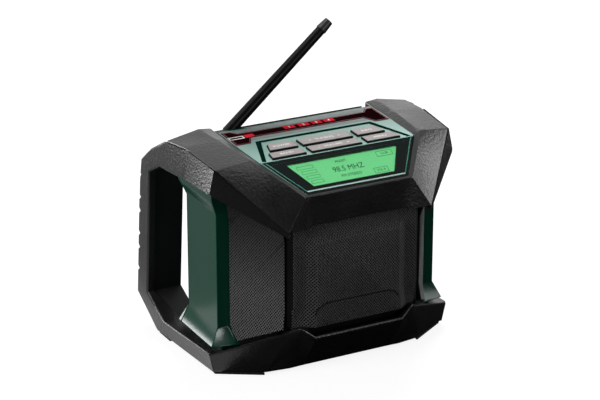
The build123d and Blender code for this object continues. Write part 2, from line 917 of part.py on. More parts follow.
def lcd_shape(margin):
    top = lcd_half_top + margin * 1.3
    low = lcd_half_low + margin * 1.3
    top_s = lcd_top_s - margin
    low_s = lcd_low_s + margin
    return down_slope([(-top, top_s), (top, top_s), (low, low_s), (-low, low_s)])


def lens_shape():
    return down_slope([
        (-lens_half_top, lens_top_s), (lens_half_top, lens_top_s), (lens_half_low, lens_low_s),
        (-lens_half_low, lens_low_s),
    ])


def prism(face, plane, low, high):
    return extrude(plane.offset(low) * face, high - low, dir=plane.z_dir)


def make_control_panel():
    rim_z = key_plane_z(rim_y)
    profile = [(rim_y, rim_z), (bend_y, bend_z), (display_front_y, brow_z)]
    profile += [(y, z - panel_thick) for y, z in reversed(profile)]
    body = slab(profile, Plane.YZ, -half, half)
    bend_edge = wing_bend[0].Y
    plan = [(panel_edge(y), y) for y in (display_front_y - 1, bend_edge, crease_y, rim_y + 1)]
    body &= slab(symmetric(plan), Plane.XY, 0, big)
    for row in (0, 1):
        body -= prism(grow(rocker_shape(row), key_clear), key_plane, -2 * panel_thick, 1)
        body -= rocker_axle(row, rocker_pin_r + pin_clear, rocker_pin_reach + fit)
        well = prism(grow(side_key_shape(row), key_clear), key_plane, -2 * panel_thick, 1)
        body -= well
        body -= mirrored(well)
    body -= prism(grow(lens_shape(), fit), lens_plane, -lens_thick, 1)
    body -= slab(lcd_shape(0), lens_plane, -2 * panel_thick, 1)
    for x, s in post_places:
        foot = key_plane.from_local_coords(at(x, s, -board_drop))
        head = key_plane.from_local_coords(at(x, s, -panel_thick / 2))
        body += rod(foot, head, post_r)
    return body


rocker_axis = -panel_thick / 2
post_places = [(x, s) for x in (-post_x, post_x) for s in (key_rows[0] + 6.0, row_s(1)[1])]


def make_decal():
    """Strip along the back of the panel, wider at both ends."""
    end_x = panel_half - 1.6
    right = [
        (end_x - 20.0, panel_length - 22.0),
        (end_x - 14.0, panel_length - 34.0),
        (end_x, panel_length - 34.0),
        (end_x, panel_length - 3.0),
        (end_x - 8.0, panel_length - 3.0),
        (end_x - 13.0, panel_length - 9.5),
    ]
    return slab(symmetric(right), key_plane, 0, decal_thick)


def make_side_key(row):
    under = -panel_thick - fit
    stem = prism(grow(side_key_shape(row), 0), key_plane, under - key_flange, key_proud)
    flange = prism(grow(side_key_shape(row), key_flange + key_clear), key_plane, under - key_flange, under)
    return stem + flange


def rocker_axle(row, radius, reach):
    s0, s1 = row_s(row)
    start = key_plane.from_local_coords(at(0, s0 - reach, rocker_axis))
    end = key_plane.from_local_coords(at(0, s1 + reach, rocker_axis))
    return rod(start, end, radius)


def make_rocker(row):
    stem = prism(grow(rocker_shape(row), 0), key_plane, -panel_thick - fit - key_flange, key_proud)
    return stem + rocker_axle(row, rocker_pin_r, rocker_pin_reach)


mat_half = post_x - post_r - fit


def make_keypad_mat():
    outline = rect(-mat_half, mat_half, key_rows[0], row_s(1)[1])
    return slab(outline, key_plane, -board_drop, -board_drop + mat_thick)


def make_key_board():
    reach = post_x + 3
    outline = rect(-reach, reach, key_rows[0] - 0.5, row_s(1)[1] + 3.5)
    return slab(outline, key_plane, -board_drop - board_thick, -board_drop)


def lcd_low():
    """Underside of the display slope, square to it."""
    return -panel_thick * (display_plane_run / display_slope)


display_plane_run = bend_y - display_front_y


def make_lcd_module():
    return slab(lcd_shape(1.5), lens_plane, lcd_low() - lcd_thick, lcd_low())


def make_display_board():
    top = lcd_low() - lcd_thick
    outline = down_slope(rect(-lcd_half_low, lcd_half_low, lcd_top_s + 2.5, lcd_low_s - 0.5))
    return slab(outline, lens_plane, top - board_thick, top)


def panel_rail():
    """Seat for the panel's edge, on the wing beside it."""
    x0 = half - slab_rear - ledge_rear
    under = -panel_thick - fit
    return slab(rect(x0 - 5.5, x0 + 1.5, 6.0, panel_length - 4.7), key_plane, under - wall, under)


# ---- Antenna: stands at a slant, folds level into the groove, or up

def along_antenna(distance):
    rise = math.radians(antenna_rise)
    return at(pivot_x + distance * math.cos(rise), pivot_y, pivot_z + distance * math.sin(rise))


def across_pivot(half_length, radius):
    return along_y(pivot_x, pivot_z, pivot_y - half_length, pivot_y + half_length, radius)


def make_antenna_base():
    ear_half = knuckle_half + fit + ear_thick
    ear_r = knuckle_r + 0.5
    body = across_pivot(ear_half, ear_r)
    body += block(pivot_x - ear_r, pivot_x + ear_r, pivot_y - ear_half, pivot_y + ear_half,
                  groove_floor_z, pivot_z)
    slot = knuckle_half + fit
    body -= block(pivot_x - 2 * ear_r, pivot_x + 2 * ear_r, pivot_y - slot, pivot_y + slot,
                  groove_floor_z + 1.5, pivot_z + 2 * ear_r)
    return body - across_pivot(ear_half + 1, pin_r)


def make_antenna_pin():
    return across_pivot(knuckle_half + fit + ear_thick, pin_r)


def make_antenna_rod():
    root = knuckle_r + 2.5
    end = antenna_length - antenna_tip_length
    body = taper(along_antenna(root), along_antenna(end), antenna_root_r, antenna_end_r)
    body += across_pivot(knuckle_half, knuckle_r)
    neck = Plane(origin=along_antenna(0), x_dir=(0, 1, 0), z_dir=along_antenna(1) - along_antenna(0))
    body += slab(rect(-knuckle_half, knuckle_half, -4.5, 4.5), neck, 0, root + 1)
    return body - across_pivot(knuckle_half + 1, pin_r + pin_clear)


def make_antenna_tip():
    start = along_antenna(antenna_length - antenna_tip_length)
    return taper(start, along_antenna(antenna_length), antenna_end_r + 0.6, antenna_end_r - 0.4)


# ---- Battery pack on its rails

bay_y = housing_back_y + bay_thick
neck_y = bay_y + neck_depth
rail_y = neck_y + rail_depth


def make_battery_bay():
    body = block(-bay_half, bay_half, housing_back_y, bay_y, bay_low_z, bay_high_z)
    body += block(-neck_half, neck_half, bay_y - 1, rail_y, rail_low_z, rail_high_z)
    return body + block(-rail_half, rail_half, neck_y, rail_y, rail_low_z, rail_high_z)


def make_terminal_block():
    body = block(-neck_half + 2, neck_half - 2, bay_y, rail_y - 1, bay_low_z + 0.5, rail_low_z - 0.5)
    for x in (-9.0, 0.0, 9.0):
        body -= block(x - 1, x + 1, neck_y, rail_y, bay_low_z, rail_low_z)
    return body


pack_front_y = bay_y + 0.4
pack_high_z = pack_low_z + pack_height
cell_y = rail_y + slide_clear + pack_wall + cell_r + fit
release_z = pack_high_z - 12.0


def make_battery_case():
    body = block(-pack_half, pack_half, pack_front_y, pack_back_y, pack_low_z, pack_high_z)
    edges = body.edges().filter_by(Axis.Z).group_by(Axis.Y)[-1]
    body = chamfer(edges, 6.0)
    slot_top = rail_high_z + fit
    neck = neck_half + slide_clear
    head = rail_half + slide_clear
    body -= block(-neck, neck, pack_front_y - 1, rail_y + slide_clear, pack_low_z - 1, slot_top)
    body -= block(-head, head, neck_y - slide_clear, rail_y + slide_clear, pack_low_z - 1, slot_top)
    inside = cell_length / 2 + fit
    body -= block(-inside, inside, cell_y - cell_r - fit, cell_y + cell_r + fit, pack_low_z + pack_wall,
                  pack_low_z + pack_wall + cell_count * cell_pitch + fit)
    room = release_half + key_clear
    body -= block(-room, room, release_floor_y(), pack_back_y + 1, release_z - release_height / 2 - key_clear,
                  release_z + release_height / 2 + key_clear)
    return body


def release_floor_y():
    return pack_back_y - release_travel - wall - 0.5


def make_release():
    return block(-release_half, release_half, pack_back_y - wall, pack_back_y + release_proud,
                 release_z - release_height / 2, release_z + release_height / 2)


def make_cells():
    first_z = pack_low_z + pack_wall + fit + cell_r
    solids = []
    for index in range(cell_count):
        z = first_z + index * cell_pitch
        solids.append(rod(at(-cell_length / 2, cell_y, z), at(cell_length / 2, cell_y, z), cell_r))
    return Compound(children=solids)


# ---- Ports on the back

cover_hinge_y = housing_back_y + 3.2
cover_hinge_z = cover_low_z - cover_knuckle_r
cover_lug_r = cover_knuckle_r - fit


def port_hole():
    reach = cover_half - port_side
    return block(cover_x - reach, cover_x + reach, housing_back_y - 2 * wall, housing_back_y + 1,
                 cover_low_z + port_edge, cover_low_z + cover_height - port_edge)


def make_port_block():
    """Socket block behind the cover, with a round and a flat socket."""
    y1 = housing_back_y - 1.0
    y0 = housing_back_y - port_depth
    low = cover_low_z + port_edge + fit
    high = cover_low_z + cover_height - port_edge - fit
    reach = cover_half - port_side - fit
    body = block(cover_x - reach, cover_x + reach, y0, y1, low, high)
    body += block(cover_x - cover_half, cover_x + cover_half, y0, housing_back_y - wall - fit,
                  low - port_edge, high + port_edge)
    body -= along_y(cover_x, high - 7, y1 - 8, y1 + 1, 1.8)
    return body - block(cover_x - 6.5, cover_x + 6.5, y1 - 8, y1 + 1, low + 5, low + 10)


def on_hinge(x):
    return at(x, cover_hinge_y, cover_hinge_z)


def cover_lug_spans():
    left = cover_x - cover_half
    right = cover_x + cover_half
    return (left, left + cover_lug), (right - cover_lug, right)


def make_port_cover():
    y0 = housing_back_y + fit
    body = block(cover_x - cover_half, cover_x + cover_half, y0, y0 + cover_thick,
                 cover_low_z, cover_low_z + cover_height)
    inner = cover_half - cover_lug - fit
    start = on_hinge(cover_x - inner)
    end = on_hinge(cover_x + inner)
    body += rod(start, end, cover_knuckle_r)
    body += block(cover_x - inner, cover_x + inner, y0 + 0.5, y0 + cover_thick,
                  cover_hinge_z, cover_low_z + 1)
    reach = at(1, 0, 0)
    return body - rod(start - reach, end + reach, cover_pin_r + pin_clear)


def make_port_pin():
    return rod(on_hinge(cover_x - cover_half), on_hinge(cover_x + cover_half), cover_pin_r)


def make_power_inlet():
    y1 = housing_back_y + inlet_proud
    body = along_y(inlet_x, inlet_z, y1 - inlet_depth, y1, inlet_r)
    body += along_y(inlet_x, inlet_z, housing_back_y, y1, inlet_r + inlet_flange)
    body -= along_y(inlet_x, inlet_z, y1 - inlet_bore, y1 + 1, inlet_bore_r)
    return body + along_y(inlet_x, inlet_z, y1 - inlet_bore - 0.5, y1 - 1, 1.0)


# ---- Write every node

rails = panel_rail()
top_frame = make_top_frame() + rails + mirrored(rails)
core = make_housing_body(wall)
shell = make_housing_body(0) - core
right_guard = drilled_guard()
right_bar = make_grip_bar()
right_grille = make_side_grille()

nodes = {
    "top_frame": top_frame,
    "lower_frame": make_lower_frame(),
    "right_guard": right_guard,
    "left_guard": mirrored(right_guard),
    "right_grip_bar": right_bar,
    "left_grip_bar": mirrored(right_bar),
    "front_feet": make_front_feet(),
    "rear_feet": make_rear_feet(),
    "front_housing": make_front_housing(shell, core),
    "housing_gasket": shell & behind(gasket_y) & before(gasket_y + gasket_thick),
    "rear_housing": make_rear_housing(shell),
    "case_screws": make_case_screws(),
    "guard_screws": make_guard_screws(),
    "rear_deck": make_rear_deck(),
    "center_grille": make_center_grille(),
    "right_grille": right_grille,
    "left_grille": mirrored(right_grille),
    "speaker_box": make_speaker_box(),
    "speaker_screws": make_speaker_screws(),
    "main_board": make_main_board(),
    "board_spacers": make_spacers(),
    "heat_sink": make_heat_sink(),
    "control_panel": make_control_panel(),
    "decal_strip": make_decal(),
    "keypad_mat": make_keypad_mat(),
    "key_board": make_key_board(),
    "display_lens": slab(lens_shape(), lens_plane, -lens_thick, 0),
    "lcd_module": make_lcd_module(),
    "display_board": make_display_board(),
    "antenna_base": make_antenna_base(),
    "antenna_pin": make_antenna_pin(),
    "antenna_rod": make_antenna_rod(),
    "antenna_tip": make_antenna_tip(),
    "battery_bay": make_battery_bay(),
    "terminal_block": make_terminal_block(),
    "battery_case": make_battery_case(),
    "battery_cells": make_cells(),
    "battery_release": make_release(),
    "port_block": make_port_block(),
    "port_cover": make_port_cover(),
    "port_cover_pin": make_port_pin(),
    "power_inlet": make_power_inlet(),
}
for side, word in ((-1, "left"), (1, "right")):
    nodes[f"{word}_speaker_frame"] = make_speaker_frame(side)
    nodes[f"{word}_speaker_cone"] = make_cone(side)
    nodes[f"{word}_speaker_magnet"] = make_magnet(side)
for row, place in enumerate(("front", "rear")):
    side_key = make_side_key(row)
    nodes[f"key_{place}_right"] = side_key
    nodes[f"key_{place}_left"] = mirrored(side_key)
    nodes[f"rocker_{place}"] = make_rocker(row)

for name, shape in nodes.items():
    save(shape, name)
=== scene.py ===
import json
import math

import bmesh
import bpy
from mathutils import Matrix, Vector
from mathutils.bvhtree import BVHTree

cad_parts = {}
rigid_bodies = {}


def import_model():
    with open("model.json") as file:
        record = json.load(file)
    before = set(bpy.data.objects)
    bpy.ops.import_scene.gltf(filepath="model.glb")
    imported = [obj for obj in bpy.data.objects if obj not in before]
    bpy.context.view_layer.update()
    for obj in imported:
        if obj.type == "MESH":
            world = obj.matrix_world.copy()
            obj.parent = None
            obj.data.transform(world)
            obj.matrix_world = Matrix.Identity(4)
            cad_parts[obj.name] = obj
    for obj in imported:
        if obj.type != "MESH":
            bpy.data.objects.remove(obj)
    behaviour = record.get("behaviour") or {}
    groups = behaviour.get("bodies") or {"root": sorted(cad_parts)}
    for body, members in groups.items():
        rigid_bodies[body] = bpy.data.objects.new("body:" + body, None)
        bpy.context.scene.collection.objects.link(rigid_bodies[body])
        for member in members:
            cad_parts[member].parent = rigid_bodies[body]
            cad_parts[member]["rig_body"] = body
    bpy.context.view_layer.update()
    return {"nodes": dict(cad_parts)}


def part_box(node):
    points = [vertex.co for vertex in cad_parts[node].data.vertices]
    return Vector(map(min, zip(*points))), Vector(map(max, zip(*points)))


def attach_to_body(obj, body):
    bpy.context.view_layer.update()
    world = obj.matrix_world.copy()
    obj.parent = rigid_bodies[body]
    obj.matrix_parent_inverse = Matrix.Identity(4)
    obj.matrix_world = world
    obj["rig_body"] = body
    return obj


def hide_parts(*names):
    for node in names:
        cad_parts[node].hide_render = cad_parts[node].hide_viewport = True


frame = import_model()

mm = 0.001
white = (1, 1, 1, 1)


def srgb(red, green, blue):
    # 0-255 screen values as the linear colour that a shader wants
    def linear(value):
        value = value / 255
        return value / 12.92 if value <= 0.04045 else ((value + 0.055) / 1.055) ** 2.4
    return (linear(red), linear(green), linear(blue), 1)


# finishes

finishDefaults = {"metal": 0, "specular": 0.5, "coat": 0, "coatRough": 0.1, "stretch": (1, 1, 1), "blotchSize": 0.03,
                  "blotchDetail": 4, "grainSize": 0.001, "grainDetail": 3, "grainTone": 0.5, "toneSpread": 0.15,
                  "toneScale": 1.6, "toneBelow": 0.15, "toneAbove": 0.25, "roughSpread": 0.06, "relief": 0.3,
                  "reliefDepth": 0.0001, "glowLevel": 1, "ior": 1.45}


def newFinish(name, look):
    # moulded look: two-tone blotches, a fine grain in relief and uneven gloss, all on Object coordinates
    look = {**finishDefaults, **look}
    mat = bpy.data.materials.new(name)
    mat.use_nodes = True
    nodes, links = mat.node_tree.nodes, mat.node_tree.links
    shader = nodes["Principled BSDF"]
    shader.inputs["Metallic"].default_value = look["metal"]
    shader.inputs["Specular IOR Level"].default_value = look["specular"]
    shader.inputs["Coat Weight"].default_value = look["coat"]
    shader.inputs["Coat Roughness"].default_value = look["coatRough"]
    place = nodes.new("ShaderNodeTexCoord")

    stretch = nodes.new("ShaderNodeMapping")
    stretch.inputs["Scale"].default_value = look["stretch"]
    links.new(place.outputs["Object"], stretch.inputs["Vector"])

    def noise(size, detail):
        cloud = nodes.new("ShaderNodeTexNoise")
        cloud.inputs["Scale"].default_value = 1 / look[size]
        cloud.inputs["Detail"].default_value = look[detail]
        links.new(stretch.outputs["Vector"], cloud.inputs["Vector"])
        return cloud

    blotch = noise("blotchSize", "blotchDetail")
    grain = noise("grainSize", "grainDetail")

    both = nodes.new("ShaderNodeMath")
    both.operation = "MULTIPLY_ADD"
    both.inputs[1].default_value = look["grainTone"]
    links.new(grain.outputs["Fac"], both.inputs[0])
    links.new(blotch.outputs["Fac"], both.inputs[2])

    ramp = nodes.new("ShaderNodeValToRGB")
    middle = (0.5 + look["grainTone"] / 2) / look["toneScale"]
    dark = [c * (1 - look["toneSpread"]) for c in look["colour"][:3]]
    light = [min(1, c * (1 + look["toneSpread"])) for c in look["colour"][:3]]
    low, high = ramp.color_ramp.elements
    low.position, low.color = max(0, middle - look["toneBelow"]), (*dark, 1)
    high.position, high.color = min(1, middle + look["toneAbove"]), (*light, 1)
    links.new(both.outputs[0], ramp.inputs["Fac"])
    colour = ramp.outputs["Color"]
    if "paintedShade" in look:
        # painted shade: the colour turns into a darker one along an axis
        axis, near, away, far = look["paintedShade"]
        split = nodes.new("ShaderNodeSeparateXYZ")
        links.new(place.outputs["Object"], split.inputs["Vector"])
        reach = nodes.new("ShaderNodeMapRange")
        reach.inputs["From Min"].default_value = near
        reach.inputs["From Max"].default_value = away
        links.new(split.outputs[axis], reach.inputs["Value"])
        blend = nodes.new("ShaderNodeMix")
        blend.data_type = "RGBA"
        links.new(reach.outputs["Result"], blend.inputs["Factor"])
        links.new(colour, blend.inputs["A"])
        blend.inputs["B"].default_value = far
        colour = blend.outputs["Result"]
    links.new(colour, shader.inputs["Base Color"])

    gloss = nodes.new("ShaderNodeMapRange")
    gloss.inputs["To Min"].default_value = look["rough"] - look["roughSpread"]
    gloss.inputs["To Max"].default_value = look["rough"] + look["roughSpread"]
    links.new(blotch.outputs["Fac"], gloss.inputs["Value"])
    links.new(gloss.outputs["Result"], shader.inputs["Roughness"])

    bump = nodes.new("ShaderNodeBump")
    bump.inputs["Strength"].default_value = look["relief"]
    bump.inputs["Distance"].default_value = look["reliefDepth"]
    links.new(grain.outputs["Fac"], bump.inputs["Height"])
    links.new(bump.outputs["Normal"], shader.inputs["Normal"])

    if "glow" in look:
        shader.inputs["Emission Color"].default_value = look["glow"]
        shader.inputs["Emission Strength"].default_value = look["glowLevel"]
    if "clear" in look:
        shader.inputs["Transmission Weight"].default_value = look["clear"]
        shader.inputs["IOR"].default_value = look["ior"]
    return mat


finishLooks = {
    "frameRubber": {"colour": srgb(14, 14, 15), "rough": 0.32, "specular": 0.38, "grainSize": 0.0026, "relief": 0.8,
                    "reliefDepth": 0.0005, "grainTone": 0.9, "toneSpread": 0.9, "blotchSize": 0.02},
    "gripRubber": {"colour": srgb(18, 19, 20), "rough": 0.55, "specular": 0.2, "grainSize": 0.0012, "relief": 0.4,
                   "reliefDepth": 0.0002, "toneSpread": 0.3},
    "footRubber": {"colour": srgb(16, 16, 16), "rough": 0.8, "specular": 0.15, "grainSize": 0.0008, "relief": 0.5,
                   "toneSpread": 0.3},
    "housingGreen": {"colour": srgb(4, 58, 43), "rough": 0.2, "roughSpread": 0.03, "specular": 0.2,
                     "grainSize": 0.0007, "relief": 0.25, "reliefDepth": 0.00006, "toneSpread": 0.15,
                     "blotchSize": 0.05},
    # the mint panel turns darker towards the back: painted shade
    "panelMint": {"colour": srgb(148, 190, 178), "rough": 0.34, "metal": 0.12, "specular": 0.25, "grainSize": 0.0005,
                  "relief": 0.15, "reliefDepth": 0.00004, "toneSpread": 0.08, "blotchSize": 0.04,
                  "paintedShade": ("Y", -0.06, 0.015, srgb(80, 104, 98))},
    "printGreen": {"colour": srgb(4, 34, 27), "rough": 0.4, "specular": 0, "grainSize": 0.0006, "relief": 0.1,
                   "toneSpread": 0.15},
    "printGrey": {"colour": srgb(104, 112, 110), "rough": 0.4, "specular": 0.2, "grainSize": 0.0006, "relief": 0.1,
                  "toneSpread": 0.1},
    # a pale mint for a painted highlight
    "paintedHighlightMint": {"colour": srgb(190, 222, 214), "rough": 0.3, "grainSize": 0.0006, "relief": 0.1,
                  "toneSpread": 0.05},
    # a teal for a painted reflection on the display's edges
    "rimReflectTeal": {"colour": srgb(74, 140, 124), "rough": 0.35, "specular": 0.1, "grainSize": 0.0006, "relief": 0.1,
                  "toneSpread": 0.2, "blotchSize": 0.02},
    "printRed": {"colour": srgb(196, 38, 52), "rough": 0.3, "specular": 0, "grainSize": 0.0006, "relief": 0.1,
                 "toneSpread": 0.15},
    "printWine": {"colour": srgb(112, 18, 34), "rough": 0.3, "specular": 0.1, "grainSize": 0.0006, "relief": 0.1,
                  "toneSpread": 0.15},
    "printWhite": {"colour": srgb(226, 226, 222), "rough": 0.4, "specular": 0.3, "grainSize": 0.0006, "relief": 0.1,
                   "toneSpread": 0.04},
    "stripBlack": {"colour": srgb(22, 5, 7), "rough": 0.3, "specular": 0, "grainSize": 0.0006, "relief": 0.08,
                   "toneSpread": 0.4, "blotchSize": 0.012},
    "bezelBlack": {"colour": srgb(3, 16, 12), "rough": 0.12, "specular": 0.1, "grainSize": 0.0009,
                   "relief": 0.05, "toneSpread": 0.4, "blotchSize": 0.02},
    "windowClear": {"colour": (0.97, 1, 0.98, 1), "rough": 0.03, "roughSpread": 0.01, "clear": 1, "ior": 1.12,
                    "relief": 0.02, "toneSpread": 0.02},
    "lcdGreen": {"colour": srgb(60, 120, 76), "rough": 0.5, "specular": 0.2, "glow": srgb(104, 204, 130),
                 "glowLevel": 0.82, "grainSize": 0.0007, "relief": 0.1, "toneSpread": 0.06, "blotchSize": 0.03},
    "lcdInk": {"colour": srgb(16, 74, 44), "rough": 0.5, "specular": 0.1, "grainSize": 0.0006, "relief": 0.1,
               "toneSpread": 0.1},
    "lcdPale": {"colour": srgb(40, 110, 66), "rough": 0.5, "specular": 0.1, "glow": srgb(60, 150, 84),
                "glowLevel": 0.4, "grainSize": 0.0006, "relief": 0.1, "toneSpread": 0.1},
    "keyGrey": {"colour": srgb(160, 152, 151), "rough": 0.42, "specular": 0.25, "grainSize": 0.0006, "relief": 0.2,
                "toneSpread": 0.06, "blotchSize": 0.02},
    "keyShadow": {"colour": srgb(10, 12, 12), "rough": 0.6, "specular": 0.1, "grainSize": 0.0006, "relief": 0.2,
                  "toneSpread": 0.2},
    "grilleDark": {"colour": srgb(12, 12, 12), "rough": 0.6, "specular": 0.1, "grainSize": 0.0008, "relief": 0.2,
                   "toneSpread": 0.2},
    "grilleWire": {"colour": srgb(70, 70, 71), "rough": 0.4, "specular": 0.08, "grainSize": 0.0007, "relief": 0.3,
                   "toneSpread": 0.3, "blotchSize": 0.004},
    # side wires: a lighter grey than the centre wires as painted light from the left, and darker towards the top as
    # painted shade under the frame
    "sideWireLitShaded": {"colour": srgb(90, 90, 91), "rough": 0.4, "specular": 0.08, "grainSize": 0.0007, "relief": 0.3,
                 "toneSpread": 0.3, "blotchSize": 0.004, "paintedShade": ("Z", 0.08, 0.16, srgb(30, 30, 31))},
    "blackPlastic": {"colour": srgb(20, 20, 21), "rough": 0.42, "specular": 0.25, "grainSize": 0.0008,
                     "relief": 0.35, "toneSpread": 0.25},
    "aerialBlack": {"colour": srgb(12, 12, 12), "rough": 0.36, "specular": 0.05, "grainSize": 0.0009, "relief": 0.3,
                    "toneSpread": 0.3, "blotchSize": 0.008},
    "boardGreen": {"colour": srgb(20, 96, 50), "rough": 0.4, "grainSize": 0.0012, "relief": 0.3, "toneSpread": 0.25},
    "sinkAlloy": {"colour": srgb(190, 192, 194), "rough": 0.35, "metal": 1, "stretch": (1, 1, 0.1),
                  "grainSize": 0.0004, "relief": 0.2, "toneSpread": 0.08},
    "zincSteel": {"colour": srgb(176, 177, 180), "rough": 0.3, "metal": 1, "grainSize": 0.0004, "relief": 0.15,
                  "toneSpread": 0.1},
    "ferrite": {"colour": srgb(52, 52, 54), "rough": 0.65, "grainSize": 0.0006, "relief": 0.5, "toneSpread": 0.2},
    "conePaper": {"colour": srgb(30, 30, 30), "rough": 0.8, "specular": 0.2, "grainSize": 0.0014, "relief": 0.6,
                  "toneSpread": 0.25},
    "contactBrass": {"colour": srgb(196, 158, 84), "rough": 0.3, "metal": 1, "grainSize": 0.0005, "relief": 0.15,
                     "toneSpread": 0.1},
    "batteryPlastic": {"colour": srgb(24, 25, 26), "rough": 0.48, "specular": 0.25, "grainSize": 0.0009,
                       "relief": 0.4, "toneSpread": 0.25},
    "releaseRed": {"colour": srgb(160, 22, 24), "rough": 0.42, "specular": 0.3, "grainSize": 0.0007, "relief": 0.2,
                   "toneSpread": 0.12},
    "cellWrap": {"colour": srgb(40, 86, 160), "rough": 0.25, "coat": 0.4, "grainSize": 0.001, "relief": 0.05,
                 "toneSpread": 0.06},
}
finishes = {name: newFinish(name, look) for name, look in finishLooks.items()}
print("finishes", len(finishes))


# shared helpers

def newObject(name, mesh, finish):
    obj = bpy.data.objects.new(name, mesh)
    bpy.context.scene.collection.objects.link(obj)
    mesh.materials.clear()
    mesh.materials.append(finishes[finish])
    return obj


def bodyOf(node):
    return frame["nodes"][node]["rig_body"]


def settle(obj):
    # modifiers become plain mesh
    graph = bpy.context.evaluated_depsgraph_get()
    graph.update()
    mesh = bpy.data.meshes.new_from_object(obj.evaluated_get(graph))
    obj.modifiers.clear()
    obj.data = mesh
    return obj


def smoothFaces(obj, angle=36):
    mesh = obj.data
    mesh.shade_smooth()
    mesh.set_sharp_from_angle(angle=math.radians(angle))
    weigh = obj.modifiers.new("faceWeights", "WEIGHTED_NORMAL")
    weigh.keep_sharp = True


def attach(obj, body, slot=None, *replaced):
    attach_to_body(obj, body)
    if replaced:
        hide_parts(*replaced)
    return obj


skinDims = {"weld": 2e-6,  # merging distance
            "clear": 0.4 * mm,  # an edge looks for free space from here on
            "crowd": 2.4,  # neighbours shorter than this many widths make an edge's rounding smaller
            "proud": 0.02 * mm, "step": 0.01 * mm, "way": Vector((0.31, 0.17, 0.94))}  # test for points outside


def cleanCopy(node, name, flatten=0.6):
    # the node's loose triangles merged into one skin, and faces that meet at a small angle into single ones
    mesh = frame["nodes"][node].data.copy()
    mesh.name = name
    stale = mesh.attributes.get("custom_normal")
    if stale:
        mesh.attributes.remove(stale)
    skin = bmesh.new()
    skin.from_mesh(mesh)
    bmesh.ops.remove_doubles(skin, verts=skin.verts, dist=skinDims["weld"])
    if flatten:
        bmesh.ops.dissolve_limit(skin, angle_limit=math.radians(flatten), verts=skin.verts, edges=skin.edges)
    skin.to_mesh(mesh)
    skin.free()
    return mesh


def outerEdges(mesh, width, limit, reach, beyond):
    # bevel weights: only convex edges with free space before them, less where the neighbouring edges are short;
    # gives back the form before rounding, for pullIn
    skin = bmesh.new()
    skin.from_mesh(mesh)
    weights = skin.edges.layers.float.new("bevel_weight_edge")
    tree = BVHTree.FromBMesh(skin)
    for edge in skin.edges:
        if len(edge.link_faces) != 2 or not edge.is_convex or edge.calc_face_angle() < math.radians(limit):
            continue
        a, b = edge.link_faces
        out = (a.normal + b.normal).normalized()
        middle = (edge.verts[0].co + edge.verts[1].co) / 2
        if abs(middle.x) < beyond or tree.ray_cast(middle + out * skinDims["clear"], out, reach)[0] is not None:
            continue
        near = [edge.calc_length()]
        for face in (a, b):
            for other in face.edges:
                if other is not edge and (edge.verts[0] in other.verts or edge.verts[1] in other.verts):
                    near.append(other.calc_length())
        edge[weights] = min(1, min(near) / (skinDims["crowd"] * width))
    skin.to_mesh(mesh)
    skin.free()
    return tree


def pullIn(mesh, sharp):
    # a rounded edge never stands out of the sharp form: an even count of crossings means outside
    way = skinDims["way"]
    for vert in mesh.vertices:
        spot, _, _, far = sharp.find_nearest(vert.co)
        if far < skinDims["proud"]:
            continue
        crossings = 0
        hit = sharp.ray_cast(vert.co, way)[0]
        while hit is not None:
            crossings += 1
            hit = sharp.ray_cast(hit + way * skinDims["step"], way)[0]
        if crossings % 2 == 0:
            vert.co = spot


def dress(node, finish, slot, soften, segments=2, limit=30, carve=None, flatten=0.6, reach=0.08, beyond=0):
    # a CAD node's shape with its outer edges rounded
    obj = newObject(node + "Skin", cleanCopy(node, node + "Skin", flatten if soften else 0), finish)
    if carve:
        cut = obj.modifiers.new("carve", "BOOLEAN")
        cut.object = carve
        cut.operation = "DIFFERENCE"
        cut.solver = "EXACT"
        settle(obj)
    if soften:
        sharp = outerEdges(obj.data, soften, limit, reach, beyond)
        bevel = obj.modifiers.new("soften", "BEVEL")
        bevel.width = soften
        bevel.segments = segments
        bevel.limit_method = "WEIGHT"
        bevel.use_clamp_overlap = False
        bevel.miter_outer = "MITER_ARC"
        settle(obj)
        pullIn(obj.data, sharp)
    smoothFaces(obj)
    return attach(obj, bodyOf(node), slot, node)


def plainNode(node, finish):
    # an inner node that stays as it is
    obj = frame["nodes"][node]
    obj.data.materials.clear()
    obj.data.materials.append(finishes[finish])


def newTree(name, sockets):
    # Geometry Nodes tree with named inputs: (label, socket type, value)
    tree = bpy.data.node_groups.new(name, "GeometryNodeTree")
    tree.interface.new_socket("Geometry", in_out="INPUT", socket_type="NodeSocketGeometry")
    tree.interface.new_socket("Geometry", in_out="OUTPUT", socket_type="NodeSocketGeometry")
    for label, kind, value in sockets:
        item = tree.interface.new_socket(label, in_out="INPUT", socket_type=kind)
        if value is not None:
            item.default_value = value
    start = tree.nodes.new("NodeGroupInput")
    end = tree.nodes.new("NodeGroupOutput")
    return tree, start, end


def closeTree(tree, start, end, last):
    # every tree ends in Realize Instances and Set Material
    realize = tree.nodes.new("GeometryNodeRealizeInstances")
    paint = tree.nodes.new("GeometryNodeSetMaterial")
    tree.links.new(last, realize.inputs["Geometry"])
    tree.links.new(realize.outputs["Geometry"], paint.inputs["Geometry"])
    tree.links.new(start.outputs["Finish"], paint.inputs["Material"])
    tree.links.new(paint.outputs["Geometry"], end.inputs["Geometry"])


def grow(obj, tree, values):
    # runs a tree on an object and keeps the result as plain mesh
    modifier = obj.modifiers.new(tree.name, "NODES")
    modifier.node_group = tree
    for item in tree.interface.items_tree:
        if item.in_out == "INPUT" and item.name in values:
            modifier[item.identifier] = values[item.name]
    return settle(obj)


def pointMesh(name, points):
    mesh = bpy.data.meshes.new(name)
    mesh.from_pydata([tuple(p) for p in points], [], [])
    return mesh


def planeFrame(origin, up):
    # matrix of a plane of the panel: x across, y up the slope, z out of it
    across = Vector((1, 0, 0))
    rise = Vector(up).normalized()
    out = across.cross(rise)
    matrix = Matrix((across, rise, out)).transposed().to_4x4()
    matrix.translation = Vector(origin)
    return matrix


